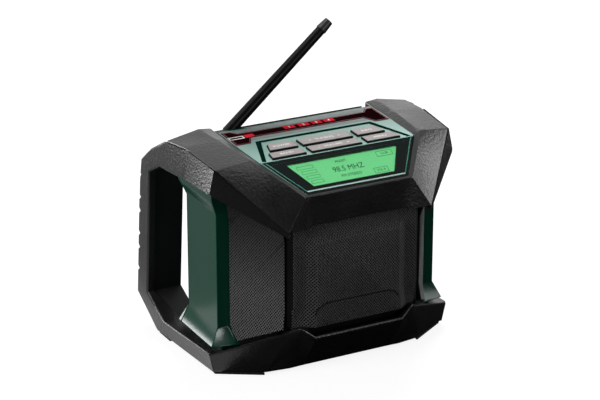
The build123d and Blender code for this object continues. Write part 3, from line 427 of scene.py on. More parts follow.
def prismMesh(name, outline, plane, low, high):
    # closed prism over an outline in millimetres
    count = len(outline)
    area = sum(a[0] * b[1] - b[0] * a[1] for a, b in zip(outline, outline[1:] + outline[:1]))
    ring = outline if area > 0 else outline[::-1]
    points = [plane @ Vector((x * mm, y * mm, z * mm)) for z in (low, high) for x, y in ring]
    faces = [tuple(reversed(range(count))), tuple(range(count, 2 * count))]
    faces += [(i, (i + 1) % count, count + (i + 1) % count, count + i) for i in range(count)]
    mesh = bpy.data.meshes.new(name)
    mesh.from_pydata(points, [], faces)
    return mesh


def ringMesh(name, outer, inner, plane, low, high):
    # closed frame between two outlines with equally many corners
    count = len(outer)
    points = [plane @ Vector((x * mm, y * mm, z * mm))
              for z in (low, high) for loop in (outer, inner) for x, y in loop]
    faces = []
    for i in range(count):
        j = (i + 1) % count
        a, b, c, d = i, j, count + j, count + i
        up = 2 * count
        faces += [(a, d, c, b), (a + up, b + up, c + up, d + up), (a, b, b + up, a + up), (d, d + up, c + up, c)]
    mesh = bpy.data.meshes.new(name)
    mesh.from_pydata(points, [], faces)
    fixer = bmesh.new()
    fixer.from_mesh(mesh)
    bmesh.ops.recalc_face_normals(fixer, faces=fixer.faces)
    fixer.to_mesh(mesh)
    fixer.free()
    return mesh


def inlay(name, outline, plane, low, high, finish, body="radio", slot=None, replaced=()):
    obj = newObject(name, prismMesh(name, outline, plane, low, high), finish)
    return attach(obj, body, slot, *replaced)


def inlayRing(name, outer, inner, plane, low, high, finish, body="radio", slot=None, replaced=()):
    obj = newObject(name, ringMesh(name, outer, inner, plane, low, high), finish)
    return attach(obj, body, slot, *replaced)


letterDims = {"thick": 0.06, "curveSteps": 3}


def printText(name, words, size, plane, x, y, height, finish, body="radio", slot=None, stretch=1.0,
              thick=letterDims["thick"], bold=0):
    # words as a thin closed mesh, centred on a point of a plane
    curve = bpy.data.curves.new(name, "FONT")
    curve.body = words
    curve.size = size
    curve.align_x = "CENTER"
    curve.align_y = "CENTER"
    curve.extrude = thick / 2
    curve.offset = bold
    curve.resolution_u = letterDims["curveSteps"]
    drawn = bpy.data.objects.new(name + "Drawn", curve)
    bpy.context.scene.collection.objects.link(drawn)
    graph = bpy.context.evaluated_depsgraph_get()
    mesh = bpy.data.meshes.new_from_object(drawn.evaluated_get(graph))
    bpy.data.objects.remove(drawn)
    scale = Matrix.Diagonal((mm * stretch, mm, mm, 1))
    mesh.transform(plane @ Matrix.Translation((x * mm, y * mm, (height + thick / 2) * mm)) @ scale)
    return attach(newObject(name, mesh, finish), body, slot)


# frame, guards, grips and feet

frameDims = {"softEdge": 1.1 * mm, "lowerEdge": 2.2 * mm, "guardEdge": 1.8 * mm, "gripEdge": 1.6 * mm,
             "footEdge": 0.6 * mm, "lowerFlatten": 4, "guardReach": 12 * mm, "guardBeyond": 121.5 * mm}

dress("top_frame", "frameRubber", "frame_rubber", frameDims["softEdge"], segments=3)
dress("lower_frame", "frameRubber", "frame_rubber", frameDims["lowerEdge"], segments=3,
      flatten=frameDims["lowerFlatten"])
dress("front_feet", "footRubber", "foot_rubber", frameDims["footEdge"])
dress("rear_feet", "footRubber", "foot_rubber", frameDims["footEdge"])
print("frames and feet")

gripDims = {"notchHeights": (147, 124, 110, 87, 73, 51), "notchWide": 44 * mm, "notchTall": 3.2 * mm,
            "notchDeep": 3.6 * mm, "notchTurn": 45, "notchShift": 2 * mm, "edgeTop": (89.0, 140.0),
            "edgeLow": (100.5, 26.0)}


def notchTree():
    # a row of small wedges, turned on edge, to be cut out of a grip
    tree, start, end = newTree("gripNotches", [
        ("Width", "NodeSocketFloat", 0.04), ("Height", "NodeSocketFloat", 0.003),
        ("Depth", "NodeSocketFloat", 0.003), ("Finish", "NodeSocketMaterial", None)])
    size = tree.nodes.new("ShaderNodeCombineXYZ")
    tree.links.new(start.outputs["Width"], size.inputs["X"])
    tree.links.new(start.outputs["Depth"], size.inputs["Y"])
    tree.links.new(start.outputs["Height"], size.inputs["Z"])
    cube = tree.nodes.new("GeometryNodeMeshCube")
    tree.links.new(size.outputs["Vector"], cube.inputs["Size"])
    place = tree.nodes.new("GeometryNodeInstanceOnPoints")
    place.inputs["Rotation"].default_value = (math.radians(gripDims["notchTurn"]), 0, 0)
    tree.links.new(start.outputs["Geometry"], place.inputs["Points"])
    tree.links.new(cube.outputs["Mesh"], place.inputs["Instance"])
    closeTree(tree, start, end, place.outputs["Instances"])
    return tree


notches = notchTree()
for side, sign in (("left", -1), ("right", 1)):
    low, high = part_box(side + "_grip_bar")
    middle = (low.x + high.x) / 2 + gripDims["notchShift"] * sign
    (topY, topZ), (lowY, lowZ) = gripDims["edgeTop"], gripDims["edgeLow"]
    points = []
    for z in gripDims["notchHeights"]:
        y = topY + (lowY - topY) * (topZ - z) / (topZ - lowZ)
        points.append((middle, y * mm, z * mm))
    cutter = newObject(side + "NotchCutter", pointMesh(side + "NotchPoints", points), "gripRubber")
    grow(cutter, notches, {"Width": gripDims["notchWide"], "Height": gripDims["notchTall"],
                           "Depth": gripDims["notchDeep"], "Finish": finishes["gripRubber"]})
    dress(side + "_grip_bar", "gripRubber", "grip_rubber", frameDims["gripEdge"], segments=3, carve=cutter)
    dress(side + "_guard", "frameRubber", "frame_rubber", frameDims["guardEdge"], segments=3, carve=cutter,
          reach=frameDims["guardReach"], beyond=frameDims["guardBeyond"])
    bpy.data.objects.remove(cutter)
print("grips")


# housing

housingDims = {"edge": 0.8 * mm, "deckEdge": 0.6 * mm}
dress("front_housing", "housingGreen", "green_housing", housingDims["edge"], segments=3)
dress("rear_housing", "housingGreen", "green_housing", housingDims["edge"], segments=3)
dress("rear_deck", "housingGreen", "green_housing", housingDims["deckEdge"])
plainNode("housing_gasket", "footRubber")

screwDims = {"headRadius": 3.4 * mm, "headTall": 2.2 * mm, "headSides": 32, "shankRadius": 1.5 * mm,
             "shankSides": 20, "recess": 1.7 * mm, "recessSides": 6, "recessSink": 0.9,
             "places": ((84, 50), (84, 140), (60, 15))}


def screwTree():
    # one socket-head screw, pointing forwards, on every point
    tree, start, end = newTree("caseScrew", [
        ("Head Radius", "NodeSocketFloat", 0.0034), ("Head Height", "NodeSocketFloat", 0.0022),
        ("Shank Radius", "NodeSocketFloat", 0.0015), ("Length", "NodeSocketFloat", 0.03),
        ("Recess Radius", "NodeSocketFloat", 0.0017), ("Finish", "NodeSocketMaterial", None)])
    nodes, links = tree.nodes, tree.links

    def cylinder(radius, depth, sides):
        node = nodes.new("GeometryNodeMeshCylinder")
        node.inputs["Vertices"].default_value = screwDims[sides]
        links.new(start.outputs[radius], node.inputs["Radius"])
        links.new(start.outputs[depth], node.inputs["Depth"])
        return node

    def shifted(source, amount, factor):
        half = nodes.new("ShaderNodeMath")
        half.operation = "MULTIPLY"
        half.inputs[1].default_value = factor
        links.new(start.outputs[amount], half.inputs[0])
        offset = nodes.new("ShaderNodeCombineXYZ")
        links.new(half.outputs[0], offset.inputs["Z"])
        move = nodes.new("GeometryNodeTransform")
        links.new(source, move.inputs["Geometry"])
        links.new(offset.outputs["Vector"], move.inputs["Translation"])
        return move.outputs["Geometry"]

    head = shifted(cylinder("Head Radius", "Head Height", "headSides").outputs["Mesh"], "Head Height", 0.5)
    recess = shifted(cylinder("Recess Radius", "Head Height", "recessSides").outputs["Mesh"], "Head Height",
                     screwDims["recessSink"])
    cut = nodes.new("GeometryNodeMeshBoolean")
    cut.operation = "DIFFERENCE"
    links.new(head, cut.inputs["Mesh 1"])
    links.new(recess, cut.inputs["Mesh 2"])
    shank = shifted(cylinder("Shank Radius", "Length", "shankSides").outputs["Mesh"], "Length", -0.5)
    joined = nodes.new("GeometryNodeJoinGeometry")
    links.new(cut.outputs["Mesh"], joined.inputs["Geometry"])
    links.new(shank, joined.inputs["Geometry"])
    place = nodes.new("GeometryNodeInstanceOnPoints")
    place.inputs["Rotation"].default_value = (math.radians(-90), 0, 0)
    links.new(start.outputs["Geometry"], place.inputs["Points"])
    links.new(joined.outputs["Geometry"], place.inputs["Instance"])
    closeTree(tree, start, end, place.outputs["Instances"])
    return tree


low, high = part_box("case_screws")
seat = high.y - screwDims["headTall"]
points = [(sign * x * mm, seat, z * mm) for x, z in screwDims["places"] for sign in (-1, 1)]
screws = newObject("caseScrewSet", pointMesh("caseScrewSet", points), "zincSteel")
grow(screws, screwTree(), {
    "Head Radius": screwDims["headRadius"], "Head Height": screwDims["headTall"],
    "Shank Radius": screwDims["shankRadius"], "Length": seat - low.y, "Recess Radius": screwDims["recess"],
    "Finish": finishes["zincSteel"]})
smoothFaces(screws)
attach(screws, "radio", "steel", "case_screws")
print("housing and screws")


# grilles: a dark plate with a raised mesh of crossed wires

grilleDims = {"pitch": 2.0 * mm, "wire": 0.36 * mm, "wireSides": 5, "edge": 0.5 * mm, "angles": (50, 130),
              "slant": 0.12, "channel": (0.062, 0.068), "lowest": 0.044}


def hatch(corners, normal, across, pitch):
    # where evenly spaced planes cut one flat face, so that the lines run on from face to face
    along = normal.cross(across)
    offsets = [across.dot(c) for c in corners]
    found = []
    for step in range(math.ceil(min(offsets) / pitch), math.floor(max(offsets) / pitch) + 1):
        hits = []
        for index, corner in enumerate(corners):
            after = (index + 1) % len(corners)
            a, b = offsets[index] - step * pitch, offsets[after] - step * pitch
            if (a < 0) != (b < 0):
                hits.append(corner.lerp(corners[after], a / (a - b)))
        hits.sort(key=along.dot)
        found += list(zip(hits[::2], hits[1::2]))
    return found


def wireTree():
    tree, start, end = newTree("grilleWires", [
        ("Wire Radius", "NodeSocketFloat", 0.0004), ("Finish", "NodeSocketMaterial", None)])
    path = tree.nodes.new("GeometryNodeMeshToCurve")
    profile = tree.nodes.new("GeometryNodeCurvePrimitiveCircle")
    profile.inputs["Resolution"].default_value = grilleDims["wireSides"]
    tube = tree.nodes.new("GeometryNodeCurveToMesh")
    tube.inputs["Fill Caps"].default_value = True
    tree.links.new(start.outputs["Geometry"], path.inputs["Mesh"])
    tree.links.new(start.outputs["Wire Radius"], profile.inputs["Radius"])
    tree.links.new(path.outputs["Curve"], tube.inputs["Curve"])
    tree.links.new(profile.outputs["Curve"], tube.inputs["Profile Curve"])
    closeTree(tree, start, end, tube.outputs["Mesh"])
    return tree


def isWoven(face, facing):
    # the mesh covers the front, but not the channel beside the ridge nor what the lip hides
    inChannel = grilleDims["channel"][0] < abs(face.center.x) < grilleDims["channel"][1]
    turned = face.normal.dot(facing) > grilleDims["slant"]
    return turned and face.center.z > grilleDims["lowest"] and not inChannel


wires = wireTree()
# which way each grille faces
facings = {"center_grille": Vector((0, -1, 0)), "right_grille": Vector((0.83, -0.56, 0)),
           "left_grille": Vector((-0.83, -0.56, 0))}
for node, facing in facings.items():
    level = Vector((0, 0, 1)).cross(facing)
    plate = cleanCopy(node, node + "Plate")
    segments = []
    for face in plate.polygons:
        if isWoven(face, facing):
            corners = [plate.vertices[i].co.copy() for i in face.vertices]
            for angle in grilleDims["angles"]:
                across = Vector((0, 0, math.cos(math.radians(angle)))) - level * math.sin(math.radians(angle))
                segments += hatch(corners, face.normal, across, grilleDims["pitch"])
    guide = bpy.data.meshes.new(node + "Wires")
    guide.from_pydata([tuple(p) for pair in segments for p in pair],
                      [(2 * i, 2 * i + 1) for i in range(len(segments))], [])
    joined = bmesh.new()
    joined.from_mesh(guide)
    bmesh.ops.remove_doubles(joined, verts=joined.verts, dist=skinDims["weld"])
    joined.to_mesh(guide)
    joined.free()
    # the side grilles' wires carry painted light and painted shade
    wireFinish = "grilleWire" if node == "center_grille" else "sideWireLitShaded"
    mesh = newObject(node + "Wires", guide, wireFinish)
    grow(mesh, wires, {"Wire Radius": grilleDims["wire"], "Finish": finishes[wireFinish]})
    attach(mesh, "radio", "grille_mesh")
    dress(node, "grilleDark", "grille_mesh", grilleDims["edge"])
    print(node, len(segments), "wires", len(mesh.data.polygons), "faces")

# painted shade: a dark strip laid over the centre grille's wires along the crease of its recessed panel
creaseShadeDims = {"outline": [(-44.5, -7), (-41.5, -1.5), (-32.0, 3.2), (30.0, 2.6), (36.5, 0.6), (40.5, -4.5)],
            "wide": 1.3, "narrow": 0.985, "low": 0.1, "high": 0.5, "place": (0, -98.2 * mm, 69 * mm),
            "rise": (0, 0.017, 1)}
outline = creaseShadeDims["outline"]
outline = outline + [(x * creaseShadeDims["narrow"], y - creaseShadeDims["wide"]) for x, y in reversed(outline)]
inlay("grilleCreaseShade", outline, planeFrame(creaseShadeDims["place"], creaseShadeDims["rise"]), creaseShadeDims["low"], creaseShadeDims["high"],
      "grilleDark", slot="grille_mesh")


# control panel with its printing

panelDims = {"bend": (0, -60.7 * mm, 196 * mm), "keyRise": (0, 0.99875, 0.04994), "lensRise": (0, 35.8, 22.5)}
keyPlane = planeFrame(panelDims["bend"], panelDims["keyRise"])
lensPlane = planeFrame(panelDims["bend"], panelDims["lensRise"])
dress("control_panel", "panelMint", "panel_mint", soften=0)

panelPrint = {"thick": 0.12, "outlineOuter": [(-74, 2.0), (-58, 46.5), (58, 46.5), (74, 2.0)],
              "outlineInner": [(70.5, 1.0), (54.5, 42.2), (-54.5, 42.2), (-70.5, 1.0)],
              "greyStrip": [(-60, 50.5), (60, 50.5), (58, 56.0), (-58, 56.0)],
              "rearStrip": [(-63, 71.5), (63, 71.5), (64, 76.5), (-64, 76.5)]}
thick = panelPrint["thick"]
inlay("keyOutline", panelPrint["outlineOuter"] + panelPrint["outlineInner"], keyPlane, 0, thick, "printGreen")
inlay("greyStrip", panelPrint["greyStrip"], keyPlane, 0, thick, "printGrey")
inlay("rearStrip", panelPrint["rearStrip"], keyPlane, 0, thick, "printGrey")

lensDims = {"outer": [(-66.97, -4.0), (66.97, -4.0), (49.5, -36.5), (-49.5, -36.5)],
            "window": [(-55.1, -6.5), (55.1, -6.5), (40.0, -33.5), (-40.0, -33.5)],
            "skirt": [(-75.5, -0.3), (75.5, -0.3), (49.2, -42.0), (-49.2, -42.0)],
            "line": [(-48.5, -37.3), (49.0, -37.3), (48.4, -38.6), (-48.0, -38.6)],
            "bead": [(72.8, -1.5), (71.6, -1.5), (48.5, -37.3), (48.5, -38.6)],
            "gap": 0.3, "skirtTop": 0.15, "bezelTop": 0.05, "lineTop": 0.3, "glassLow": -1.2, "windowLow": -0.7}


def spread(outline, amount):
    # same outline with each corner moved out from the middle
    middleY = sum(y for x, y in outline) / len(outline)
    return [(x + math.copysign(amount, x), y + math.copysign(amount, y - middleY)) for x, y in outline]


inlayRing("displaySkirt", lensDims["skirt"], spread(lensDims["outer"], lensDims["gap"]), lensPlane, 0,
          lensDims["skirtTop"], "bezelBlack", slot="decal_black")
inlayRing("displayBezel", lensDims["outer"], lensDims["window"], lensPlane, lensDims["glassLow"],
          lensDims["bezelTop"], "bezelBlack", slot="display_glass", replaced=("display_lens",))
inlay("displayWindow", lensDims["window"], lensPlane, lensDims["windowLow"], 0, "windowClear", slot="display_glass")
# painted highlight: a pale line along the display's lower edge
inlay("displayHighlightLine", lensDims["line"], lensPlane, lensDims["skirtTop"], lensDims["lineTop"], "paintedHighlightMint")
# the beads along the display's side edges are coloured teal as a painted reflection
for side, sign in (("Left", -1), ("Right", 1)):
    bead = [(sign * x, y) for x, y in lensDims["bead"]]
    inlay("displayBead" + side, bead, lensPlane, lensDims["skirtTop"], lensDims["lineTop"], "rimReflectTeal")

stripPrint = {"edge": 0.08 * mm, "top": 0.35, "thick": 0.06, "numberSize": 5.2,
              "boxes": [(-20, -9), (-5.5, 5.5), (8, 18), (20.5, 31)], "boxLow": 61.5, "boxHigh": 68.0,
              "badge": [(-77, 57), (-62.5, 57), (-62.5, 63), (-77, 63)],
              "badgeInner": [(-75.8, 58.3), (-63.7, 58.3), (-63.7, 61.7), (-75.8, 61.7)],
              "redBadge": [(-61, 57.5), (-52, 57.5), (-52, 64), (-61, 64)],
              "outlineInsets": (0.7, 1.5),
              # corners of the right half, and how far each goes in with the inset
              "corners": [(57, 56.7, 0.4, 1), (63, 44.7, 0.6, 1), (77, 44.7, -1, 1), (77, 75.7, -1, -1),
                          (69, 75.7, 0.5, -1), (64, 69.2, 0.4, -1)]}
dress("decal_strip", "stripBlack", "decal_black", stripPrint["edge"], segments=1)
low, high = stripPrint["top"], stripPrint["top"] + stripPrint["thick"]
boxLow, boxHigh = stripPrint["boxLow"], stripPrint["boxHigh"]
for index, (x0, x1) in enumerate(stripPrint["boxes"]):
    number = str(index + 1)
    inlay("stripBox" + number, [(x0, boxLow), (x1, boxLow), (x1, boxHigh), (x0, boxHigh)], keyPlane, low, high,
          "printRed")
    printText("stripNumber" + number, number, stripPrint["numberSize"], keyPlane, (x0 + x1) / 2,
              (boxLow + boxHigh) / 2, high, "printWhite")
inlayRing("stripBadge", stripPrint["badge"], stripPrint["badgeInner"], keyPlane, low, high, "printWhite")
inlay("stripRedBadge", stripPrint["redBadge"], keyPlane, low, high, "printRed")


def stripLoop(inset):
    # the strip's outline drawn in by an amount
    half = [(x + inset * dx, y + inset * dy) for x, y, dx, dy in stripPrint["corners"]]
    return half + [(-x, y) for x, y in reversed(half)]


outer, inner = (stripLoop(inset) for inset in stripPrint["outlineInsets"])
inlayRing("stripOutline", outer, inner, keyPlane, low, high, "printWine")
print("panel")


# display

lcdDims = {"edge": 0.2 * mm, "top": -2.116, "frameThick": 0.05,
           # words: size, place across and down, stretch
           "words": {"lcdMain": ("98.5 MHZ", 8.0, 1.0, 19.5, 0.92), "lcdUnder": ("FM STEREO", 4.0, 1.0, 27.0, 1.0),
                     "lcdOver": ("PRESET", 3.4, -3.0, 11.0, 1.0), "lcdClock": ("12:30", 3.4, 41.0, 11.0, 1.0),
                     "lcdMode": ("VOL 8", 3.2, 30.0, 28.0, 1.0)},
           # frames: left, right, top, bottom, line
           "frames": {"lcdClockFrame": (33, 49, 8.0, 14.0, 0.5), "lcdModeFrame": (23, 37, 25.0, 31.0, 0.5)},
           # level marks: how many, the first one as above, and the step of its left, right and top
           "markCount": 4, "mark": (-46, -30, 9.5, 13.0, 0.4), "markStep": (2.4, 1.0, 5.5)}
dress("lcd_module", "lcdGreen", "lcd_green", lcdDims["edge"], segments=1)
for name, (words, size, x, down, stretch) in lcdDims["words"].items():
    printText(name, words, size, lensPlane, x, -down, lcdDims["top"], "lcdInk", slot="lcd_green", stretch=stretch)


def lcdFrame(name, x0, x1, s0, s1, line):
    # thin frame on the display, s measured down the slope
    outer = [(x0, -s1), (x1, -s1), (x1, -s0), (x0, -s0)]
    inner = [(x0 + line, -s1 + line), (x1 - line, -s1 + line), (x1 - line, -s0 - line), (x0 + line, -s0 - line)]
    inlayRing(name, outer, inner, lensPlane, lcdDims["top"], lcdDims["top"] + lcdDims["frameThick"], "lcdPale",
              slot="lcd_green")


for name, sides in lcdDims["frames"].items():
    lcdFrame(name, *sides)
left, right, upper, lower, line = lcdDims["mark"]
stepLeft, stepRight, stepDown = lcdDims["markStep"]
for index in range(lcdDims["markCount"]):
    lcdFrame("lcdMark%d" % (index + 1), left + stepLeft * index, right + stepRight * index, upper + stepDown * index,
             lower + stepDown * index, line)
print("display")


# keys

keyDims = {"proud": 1.6, "edge": 0.3 * mm, "inset": 0.6, "frontInset": 1.2, "capThick": 0.1, "capSink": 0.3,
           "wordSize": 4.8, "wordBold": 0.09, "wordThick": 0.08,
           "rows": {"front": (2.0, 14.5, 30.5, 63.67, 61.62), "rear": (18.5, 32.5, 29.79, 57.61, 53.76)},
           "rocker": 24.99,
           "words": {"key_front_left": "BAND", "key_front_right": "MENU", "rocker_front": "-   VOLUME   +",
                     "key_rear_left": "POWER", "key_rear_right": "INFO", "rocker_rear": "<   TUNING   >"}}


def capOutline(node):
    # top face of a key, a little smaller all round
    front, rear, inner, outerFront, outerRear = keyDims["rows"]["front" if "front" in node else "rear"]
    gap = keyDims["inset"]
    front, rear = front + keyDims["frontInset"], rear - gap
    if node.startswith("rocker"):
        reach = keyDims["rocker"] - gap
        return [(-reach, front), (reach, front), (reach, rear), (-reach, rear)]
    sign = -1 if "left" in node else 1
    return [(sign * (inner + gap), front), (sign * (outerFront - gap), front), (sign * (outerRear - gap), rear),
            (sign * (inner + gap), rear)]


for node, words in keyDims["words"].items():
    dress(node, "keyShadow", "key_grey", keyDims["edge"])
    outline = capOutline(node)
    capTop = keyDims["proud"] + keyDims["capThick"]
    inlay(node + "Cap", outline, keyPlane, keyDims["proud"] - keyDims["capSink"], capTop, "keyGrey",
          body=bodyOf(node))
    middle = [sum(values) / 4 for values in zip(*outline)]
    printText(node + "Word", words, keyDims["wordSize"], keyPlane, *middle, capTop, "printWhite", body=bodyOf(node),
              thick=keyDims["wordThick"], bold=keyDims["wordBold"])
print("keys")


# aerial

aerialDims = {"edge": 0.5 * mm, "pinEdge": 0.2 * mm, "limit": 50}  # only turns over the limit are rounded
dress("antenna_rod", "aerialBlack", "antenna_rubber", aerialDims["edge"], limit=aerialDims["limit"])
dress("antenna_tip", "blackPlastic", "black_plastic", aerialDims["edge"], limit=aerialDims["limit"])
dress("antenna_base", "blackPlastic", "black_plastic", aerialDims["edge"], limit=aerialDims["limit"])
dress("antenna_pin", "zincSteel", "steel", aerialDims["pinEdge"], segments=1, limit=aerialDims["limit"])
print("aerial")


# battery and ports

batteryDims = {"caseEdge": 1.6 * mm, "releaseEdge": 0.7 * mm, "bayEdge": 0.5 * mm, "ribCount": 6,
               "ribPitch": 6.0 * mm, "ribLow": 44 * mm, "ribSize": (1.0 * mm, 26 * mm, 2.4 * mm)}
portDims = {"coverEdge": 0.5 * mm, "edge": 0.3 * mm}
dress("battery_case", "batteryPlastic", "battery_plastic", batteryDims["caseEdge"], segments=3)
dress("battery_release", "releaseRed", "release_red", batteryDims["releaseEdge"], segments=3)
dress("battery_bay", "blackPlastic", "black_plastic", batteryDims["bayEdge"])
dress("port_cover", "blackPlastic", "black_plastic", portDims["coverEdge"])
dress("port_block", "blackPlastic", "black_plastic", portDims["edge"])
dress("power_inlet", "blackPlastic", "black_plastic", portDims["edge"])
plainNode("terminal_block", "contactBrass")


def ribTree():
    # a ladder of low ribs, one above the other
    tree, start, end = newTree("gripRibs", [
        ("Count", "NodeSocketInt", 6), ("Pitch", "NodeSocketFloat", 0.006),
        ("Size", "NodeSocketVector", (0.001, 0.02, 0.002)), ("Finish", "NodeSocketMaterial", None)])
    nodes, links = tree.nodes, tree.links
    step = nodes.new("ShaderNodeCombineXYZ")
    links.new(start.outputs["Pitch"], step.inputs["Z"])
    line = nodes.new("GeometryNodeMeshLine")
    links.new(start.outputs["Count"], line.inputs["Count"])
    links.new(step.outputs["Vector"], line.inputs["Offset"])
    cube = nodes.new("GeometryNodeMeshCube")
    links.new(start.outputs["Size"], cube.inputs["Size"])
    ladder = nodes.new("GeometryNodeInstanceOnPoints")
    links.new(line.outputs["Mesh"], ladder.inputs["Points"])
    links.new(cube.outputs["Mesh"], ladder.inputs["Instance"])
    place = nodes.new("GeometryNodeInstanceOnPoints")
    links.new(start.outputs["Geometry"], place.inputs["Points"])
    links.new(ladder.outputs["Instances"], place.inputs["Instance"])
    closeTree(tree, start, end, place.outputs["Instances"])
    return tree


low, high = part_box("battery_case")
points = [(x, (low.y + high.y) / 2, batteryDims["ribLow"]) for x in (low.x, high.x)]
ribs = newObject("batteryRibs", pointMesh("batteryRibs", points), "batteryPlastic")
grow(ribs, ribTree(), {"Count": batteryDims["ribCount"], "Pitch": batteryDims["ribPitch"],
                       "Size": batteryDims["ribSize"], "Finish": finishes["batteryPlastic"]})
attach(ribs, "battery", "battery_plastic")
print("battery and ports")


# inner pieces

innerFinishes = {
    "guard_screws": ("zincSteel", "steel"), "speaker_box": ("blackPlastic", "black_plastic"),
    "speaker_screws": ("zincSteel", "steel"), "main_board": ("boardGreen", "board_green"),
    "board_spacers": ("zincSteel", "steel"), "heat_sink": ("sinkAlloy", "heat_sink"),
    "keypad_mat": ("footRubber", "foot_rubber"), "key_board": ("boardGreen", "board_green"),
    "display_board": ("boardGreen", "board_green"), "battery_cells": ("cellWrap", "cell_wrap"),
    "port_cover_pin": ("zincSteel", "steel"), "left_speaker_frame": ("zincSteel", "steel"),
    "right_speaker_frame": ("zincSteel", "steel"), "left_speaker_cone": ("conePaper", "cone_paper"),
    "right_speaker_cone": ("conePaper", "cone_paper"), "left_speaker_magnet": ("ferrite", "magnet"),
    "right_speaker_magnet": ("ferrite", "magnet"),
}
for node, (finish, slot) in innerFinishes.items():
    plainNode(node, finish)
print("inner pieces")


# floor, light and camera

stageDims = {"floorSize": 12.0, "floorTone": 0.25, "floorRough": 0.9, "floorSpecular": 0.1, "floorGlow": 0.88,
             "ambient": 0.16, "cardTone": 0.004, "aim": (0, 0, 0.1)}


def seenDirectly(nodes, links):
    # 1 for rays that should meet the white surroundings, 0 for light on the object
    path = nodes.new("ShaderNodeLightPath")
    first = nodes.new("ShaderNodeMath")
    first.operation = "MAXIMUM"
    second = nodes.new("ShaderNodeMath")
    second.operation = "MAXIMUM"
    links.new(path.outputs["Is Camera Ray"], first.inputs[0])
    links.new(path.outputs["Is Glossy Ray"], first.inputs[1])
    links.new(first.outputs[0], second.inputs[0])
    links.new(path.outputs["Is Transmission Ray"], second.inputs[1])
    return second.outputs[0]


def makeFloor():
    mesh = bpy.data.meshes.new("floor")
    r = stageDims["floorSize"]
    mesh.from_pydata([(-r, -r, 0), (r, -r, 0), (r, r, 0), (-r, r, 0)], [], [(0, 1, 2, 3)])
    floor = bpy.data.objects.new("floor", mesh)
    bpy.context.scene.collection.objects.link(floor)
    mat = bpy.data.materials.new("floorPaper")
    mat.use_nodes = True
    nodes, links = mat.node_tree.nodes, mat.node_tree.links
    shader = nodes["Principled BSDF"]
    tone = stageDims["floorTone"]
    shader.inputs["Base Color"].default_value = (tone, tone, tone, 1)
    shader.inputs["Roughness"].default_value = stageDims["floorRough"]
    shader.inputs["Specular IOR Level"].default_value = stageDims["floorSpecular"]
    glow = nodes.new("ShaderNodeMath")
    glow.operation = "MULTIPLY"
    glow.inputs[1].default_value = stageDims["floorGlow"]
    links.new(seenDirectly(nodes, links), glow.inputs[0])
    shader.inputs["Emission Color"].default_value = white
    links.new(glow.outputs[0], shader.inputs["Emission Strength"])
    mesh.materials.append(mat)


def makeFlags():
    # cards round the radio, seen only as reflections: black ones keep its front and sides dark, one behind is grey
    black = stageDims["cardTone"]
    for name, (tone, corners) in flagDims.items():
        mesh = bpy.data.meshes.new(name)
        mesh.from_pydata(corners, [], [tuple(range(len(corners)))])
        card = bpy.data.objects.new(name, mesh)
        bpy.context.scene.collection.objects.link(card)
        mat = bpy.data.materials.new(name)
        mat.use_nodes = True
        shader = mat.node_tree.nodes["Principled BSDF"]
        shader.inputs["Base Color"].default_value = (black, black, black, 1)
        shader.inputs["Specular IOR Level"].default_value = 0
        shader.inputs["Emission Color"].default_value = white
        shader.inputs["Emission Strength"].default_value = tone
        mesh.materials.append(mat)
        card.visible_camera = False
        card.visible_shadow = False
        card.visible_diffuse = False


def makeWorld():
    world = bpy.data.worlds.new("surroundings")
    bpy.context.scene.world = world
    world.use_nodes = True
    nodes, links = world.node_tree.nodes, world.node_tree.links
    level = nodes.new("ShaderNodeMapRange")
    level.inputs["To Min"].default_value = stageDims["ambient"]
    level.inputs["To Max"].default_value = 1.0
    links.new(seenDirectly(nodes, links), level.inputs["Value"])
    nodes["Background"].inputs["Color"].default_value = white
    links.new(level.outputs["Result"], nodes["Background"].inputs["Strength"])


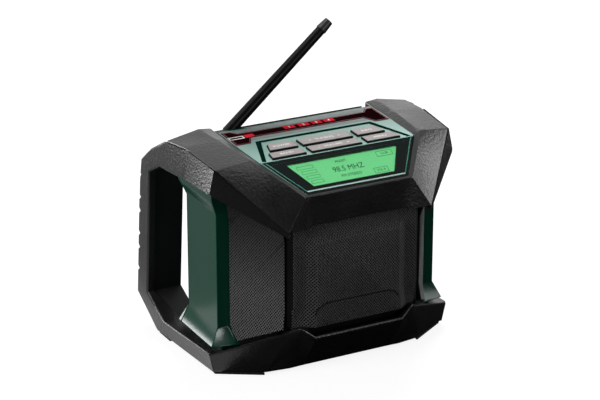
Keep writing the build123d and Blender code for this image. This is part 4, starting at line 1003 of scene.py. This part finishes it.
flagDims = {  # tone, corners
    "flagFront": (0, [(-6.0, -3.0, 0.02), (4.0, -3.0, 0.02), (4.0, -3.0, 4.0), (-6.0, -3.0, 4.0)]),
    "flagLeft": (0, [(-2.0, -3.0, 0.02), (-2.0, -0.1, 0.02), (-2.0, -0.1, 4.0), (-2.0, -3.0, 4.0)]),
    "flagFloor": (0, [(-2.0, -2.9, 0.002), (3.5, -2.9, 0.002), (3.0, 0.3, 0.002), (0.1, 0.3, 0.002),
                      (-0.112, 0.02, 0.002), (-0.112, -0.1, 0.002), (-2.0, -0.1, 0.002)]),
    "flagBehind": (0.35, [(-0.7, 0.1, 0.002), (-0.15, 0.1, 0.002), (-0.15, 0.9, 0.002), (-0.7, 0.9, 0.002)]),
}
lampDims = {  # place, size, power, seen only as a reflection
    "lampRight": ((1.62, -0.72, 0.62), 1.0, 22.0, True),
    "lampBack": ((1.2, 1.75, 1.0), 0.4, 1.2, True),
    "lampBackLeft": ((-0.8, 1.8, 0.95), 0.9, 10.0, True),
    "lampLow": ((-1.2, 1.65, 0.32), 0.7, 24.0, True),
    "lampHigh": ((-0.95, 0.3, 2.0), 0.8, 30.0, True),
    "lampSky": ((0.4, -0.8, 2.1), 1.2, 10.0, True),
    "lampFront": ((0.34, -2.35, 0.54), 0.65, 26.0, True),
    "lampTop": ((0.5, 0.9, 1.6), 1.0, 22.0, False),
    "lampLeft": ((-1.8, -0.3, 0.6), 0.9, 24.0, False),
    "lampSide": ((1.8, -0.5, 0.5), 0.9, 9.0, False),
}


def makeLamps():
    aim = Vector(stageDims["aim"])
    for name, (place, size, power, mirrored) in lampDims.items():
        lamp = bpy.data.lights.new(name, "AREA")
        lamp.size = size
        lamp.energy = power
        obj = bpy.data.objects.new(name, lamp)
        obj.location = place
        obj.rotation_euler = (aim - Vector(place)).to_track_quat("-Z", "Y").to_euler()
        obj.visible_diffuse = not mirrored
        obj.visible_glossy = mirrored
        obj.visible_transmission = False
        bpy.context.scene.collection.objects.link(obj)


cameraDims = {"place": (-0.872, -1.6096, 0.8267), "turn": 28.29, "dip": 20.88, "lens": 129.8, "sensor": 36,
              "clipStart": 0.05}


def makeCamera():
    camera = bpy.data.cameras.new("camera")
    camera.lens = cameraDims["lens"]
    camera.sensor_width = cameraDims["sensor"]
    camera.clip_start = cameraDims["clipStart"]
    obj = bpy.data.objects.new("camera", camera)
    turn, dip = math.radians(cameraDims["turn"]), math.radians(cameraDims["dip"])
    look = Vector((math.sin(turn) * math.cos(dip), math.cos(turn) * math.cos(dip), -math.sin(dip)))
    obj.location = cameraDims["place"]
    obj.rotation_euler = look.to_track_quat("-Z", "Y").to_euler()
    bpy.context.scene.collection.objects.link(obj)
    bpy.context.scene.camera = obj


makeFloor()
makeFlags()
makeWorld()
makeLamps()
makeCamera()
bpy.context.scene.view_settings.view_transform = "Standard"
print("stage")
